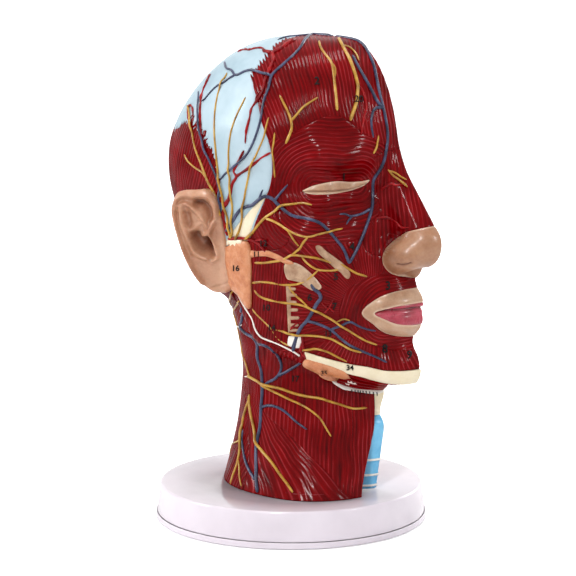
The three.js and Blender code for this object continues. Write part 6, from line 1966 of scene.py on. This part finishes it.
def floorMaterial():
    # pale plastic sheet; the camera sees it fade to white away from the model
    material, tree, shader = newMaterial("paleFloor")
    spot = addNode(tree, "ShaderNodeTexCoord").outputs["Object"]
    far = addNode(tree, "ShaderNodeVectorMath", {0: spot}, operation="LENGTH").outputs["Value"]
    tones = [(.3, (240, 240, 241)), (.7, (244, 244, 245))]
    fade = spread(tree, far, *stageShape["shadowZone"], stageShape["nearGlow"], 1.0)
    cameraRay = addNode(tree, "ShaderNodeLightPath").outputs["Is Camera Ray"]
    links = {"Base Color": ramp(tree, noise(tree, spot, 40.0), tones),
             "Emission Strength": calc(tree, "MULTIPLY", cameraRay, fade)}
    finishShader(tree, shader, links, {"Roughness": .6, "Emission Color": (1, 1, 1, 1)})
    return material


def floorDisc():
    turns, drop = stageShape["turns"], stageShape["drop"]
    around = np.linspace(0, 2 * math.pi, turns, endpoint=False)
    points = [(r * math.cos(t), r * math.sin(t), -drop) for r in stageShape["rings"] for t in around]
    points.append((0, 0, -drop))
    faces = [(len(points) - 1, k, (k + 1) % turns) for k in range(turns)]
    for ring in range(len(stageShape["rings"]) - 1):
        for k in range(turns):
            a, b = ring * turns + k, ring * turns + (k + 1) % turns
            faces += [(a, a + turns, b + turns), (a, b + turns, b)]
    disc = newMesh("pale_floor", points, faces)
    disc.data.materials.append(floorMaterial())
    return disc


floorDisc()

room = bpy.data.worlds.new("paleRoom")
scene.world = room
room.use_nodes = True
sky = room.node_tree.nodes["Background"]
sky.inputs["Strength"].default_value = 1.0
rayKind = addNode(room.node_tree, "ShaderNodeLightPath").outputs
seen = calc(room.node_tree, "MAXIMUM", rayKind["Is Camera Ray"], rayKind["Is Transmission Ray"])
seen = calc(room.node_tree, "MAXIMUM", seen, rayKind["Is Glossy Ray"])
room.node_tree.links.new(mixed(room.node_tree, seen, (.24, .24, .25, 1), (1, 1, 1, 1)), sky.inputs["Color"])


def softLamp(name, spot, aim, size, power):
    lamp = bpy.data.lights.new(name, "AREA")
    lamp.shape = "RECTANGLE"
    lamp.size, lamp.size_y = size
    lamp.energy = power
    holder = bpy.data.objects.new(name, lamp)
    holder.location = spot
    holder.visible_camera = False
    holder.rotation_euler = (Vector(aim) - Vector(spot)).to_track_quat("-Z", "Y").to_euler()
    scene.collection.objects.link(holder)


softLamp("keyLight", (-1.6, -.9, 1.5), (0, 0, .17), (.14, .6), 22)
softLamp("faceLight", (.5, -1.9, 1.1), (0, 0, .16), (.16, .5), 11)
softLamp("backLight", (-1.3, 1.3, 1.0), (0, 0, .16), (.4, .6), 20)
softLamp("topLight", (.1, .1, 2.1), (0, 0, .1), (.5, .6), 20)
softLamp("sectionLight", (1.9, .1, .9), (0, 0, .16), (.6, 1.2), 16)

camera = bpy.data.cameras.new("photoView")
camera.sensor_width = 36
camera.lens = view["lens"] / (2 * view["middle"]) * camera.sensor_width
camera.clip_start, camera.clip_end = .05, 20
cameraObject = bpy.data.objects.new("photoView", camera)
cameraObject.location = viewEye * mm
cameraObject.rotation_euler = Vector(viewBack).to_track_quat("Z", "Y").to_euler()
scene.collection.objects.link(cameraObject)
scene.camera = cameraObject
scene.view_settings.view_transform = "Standard"
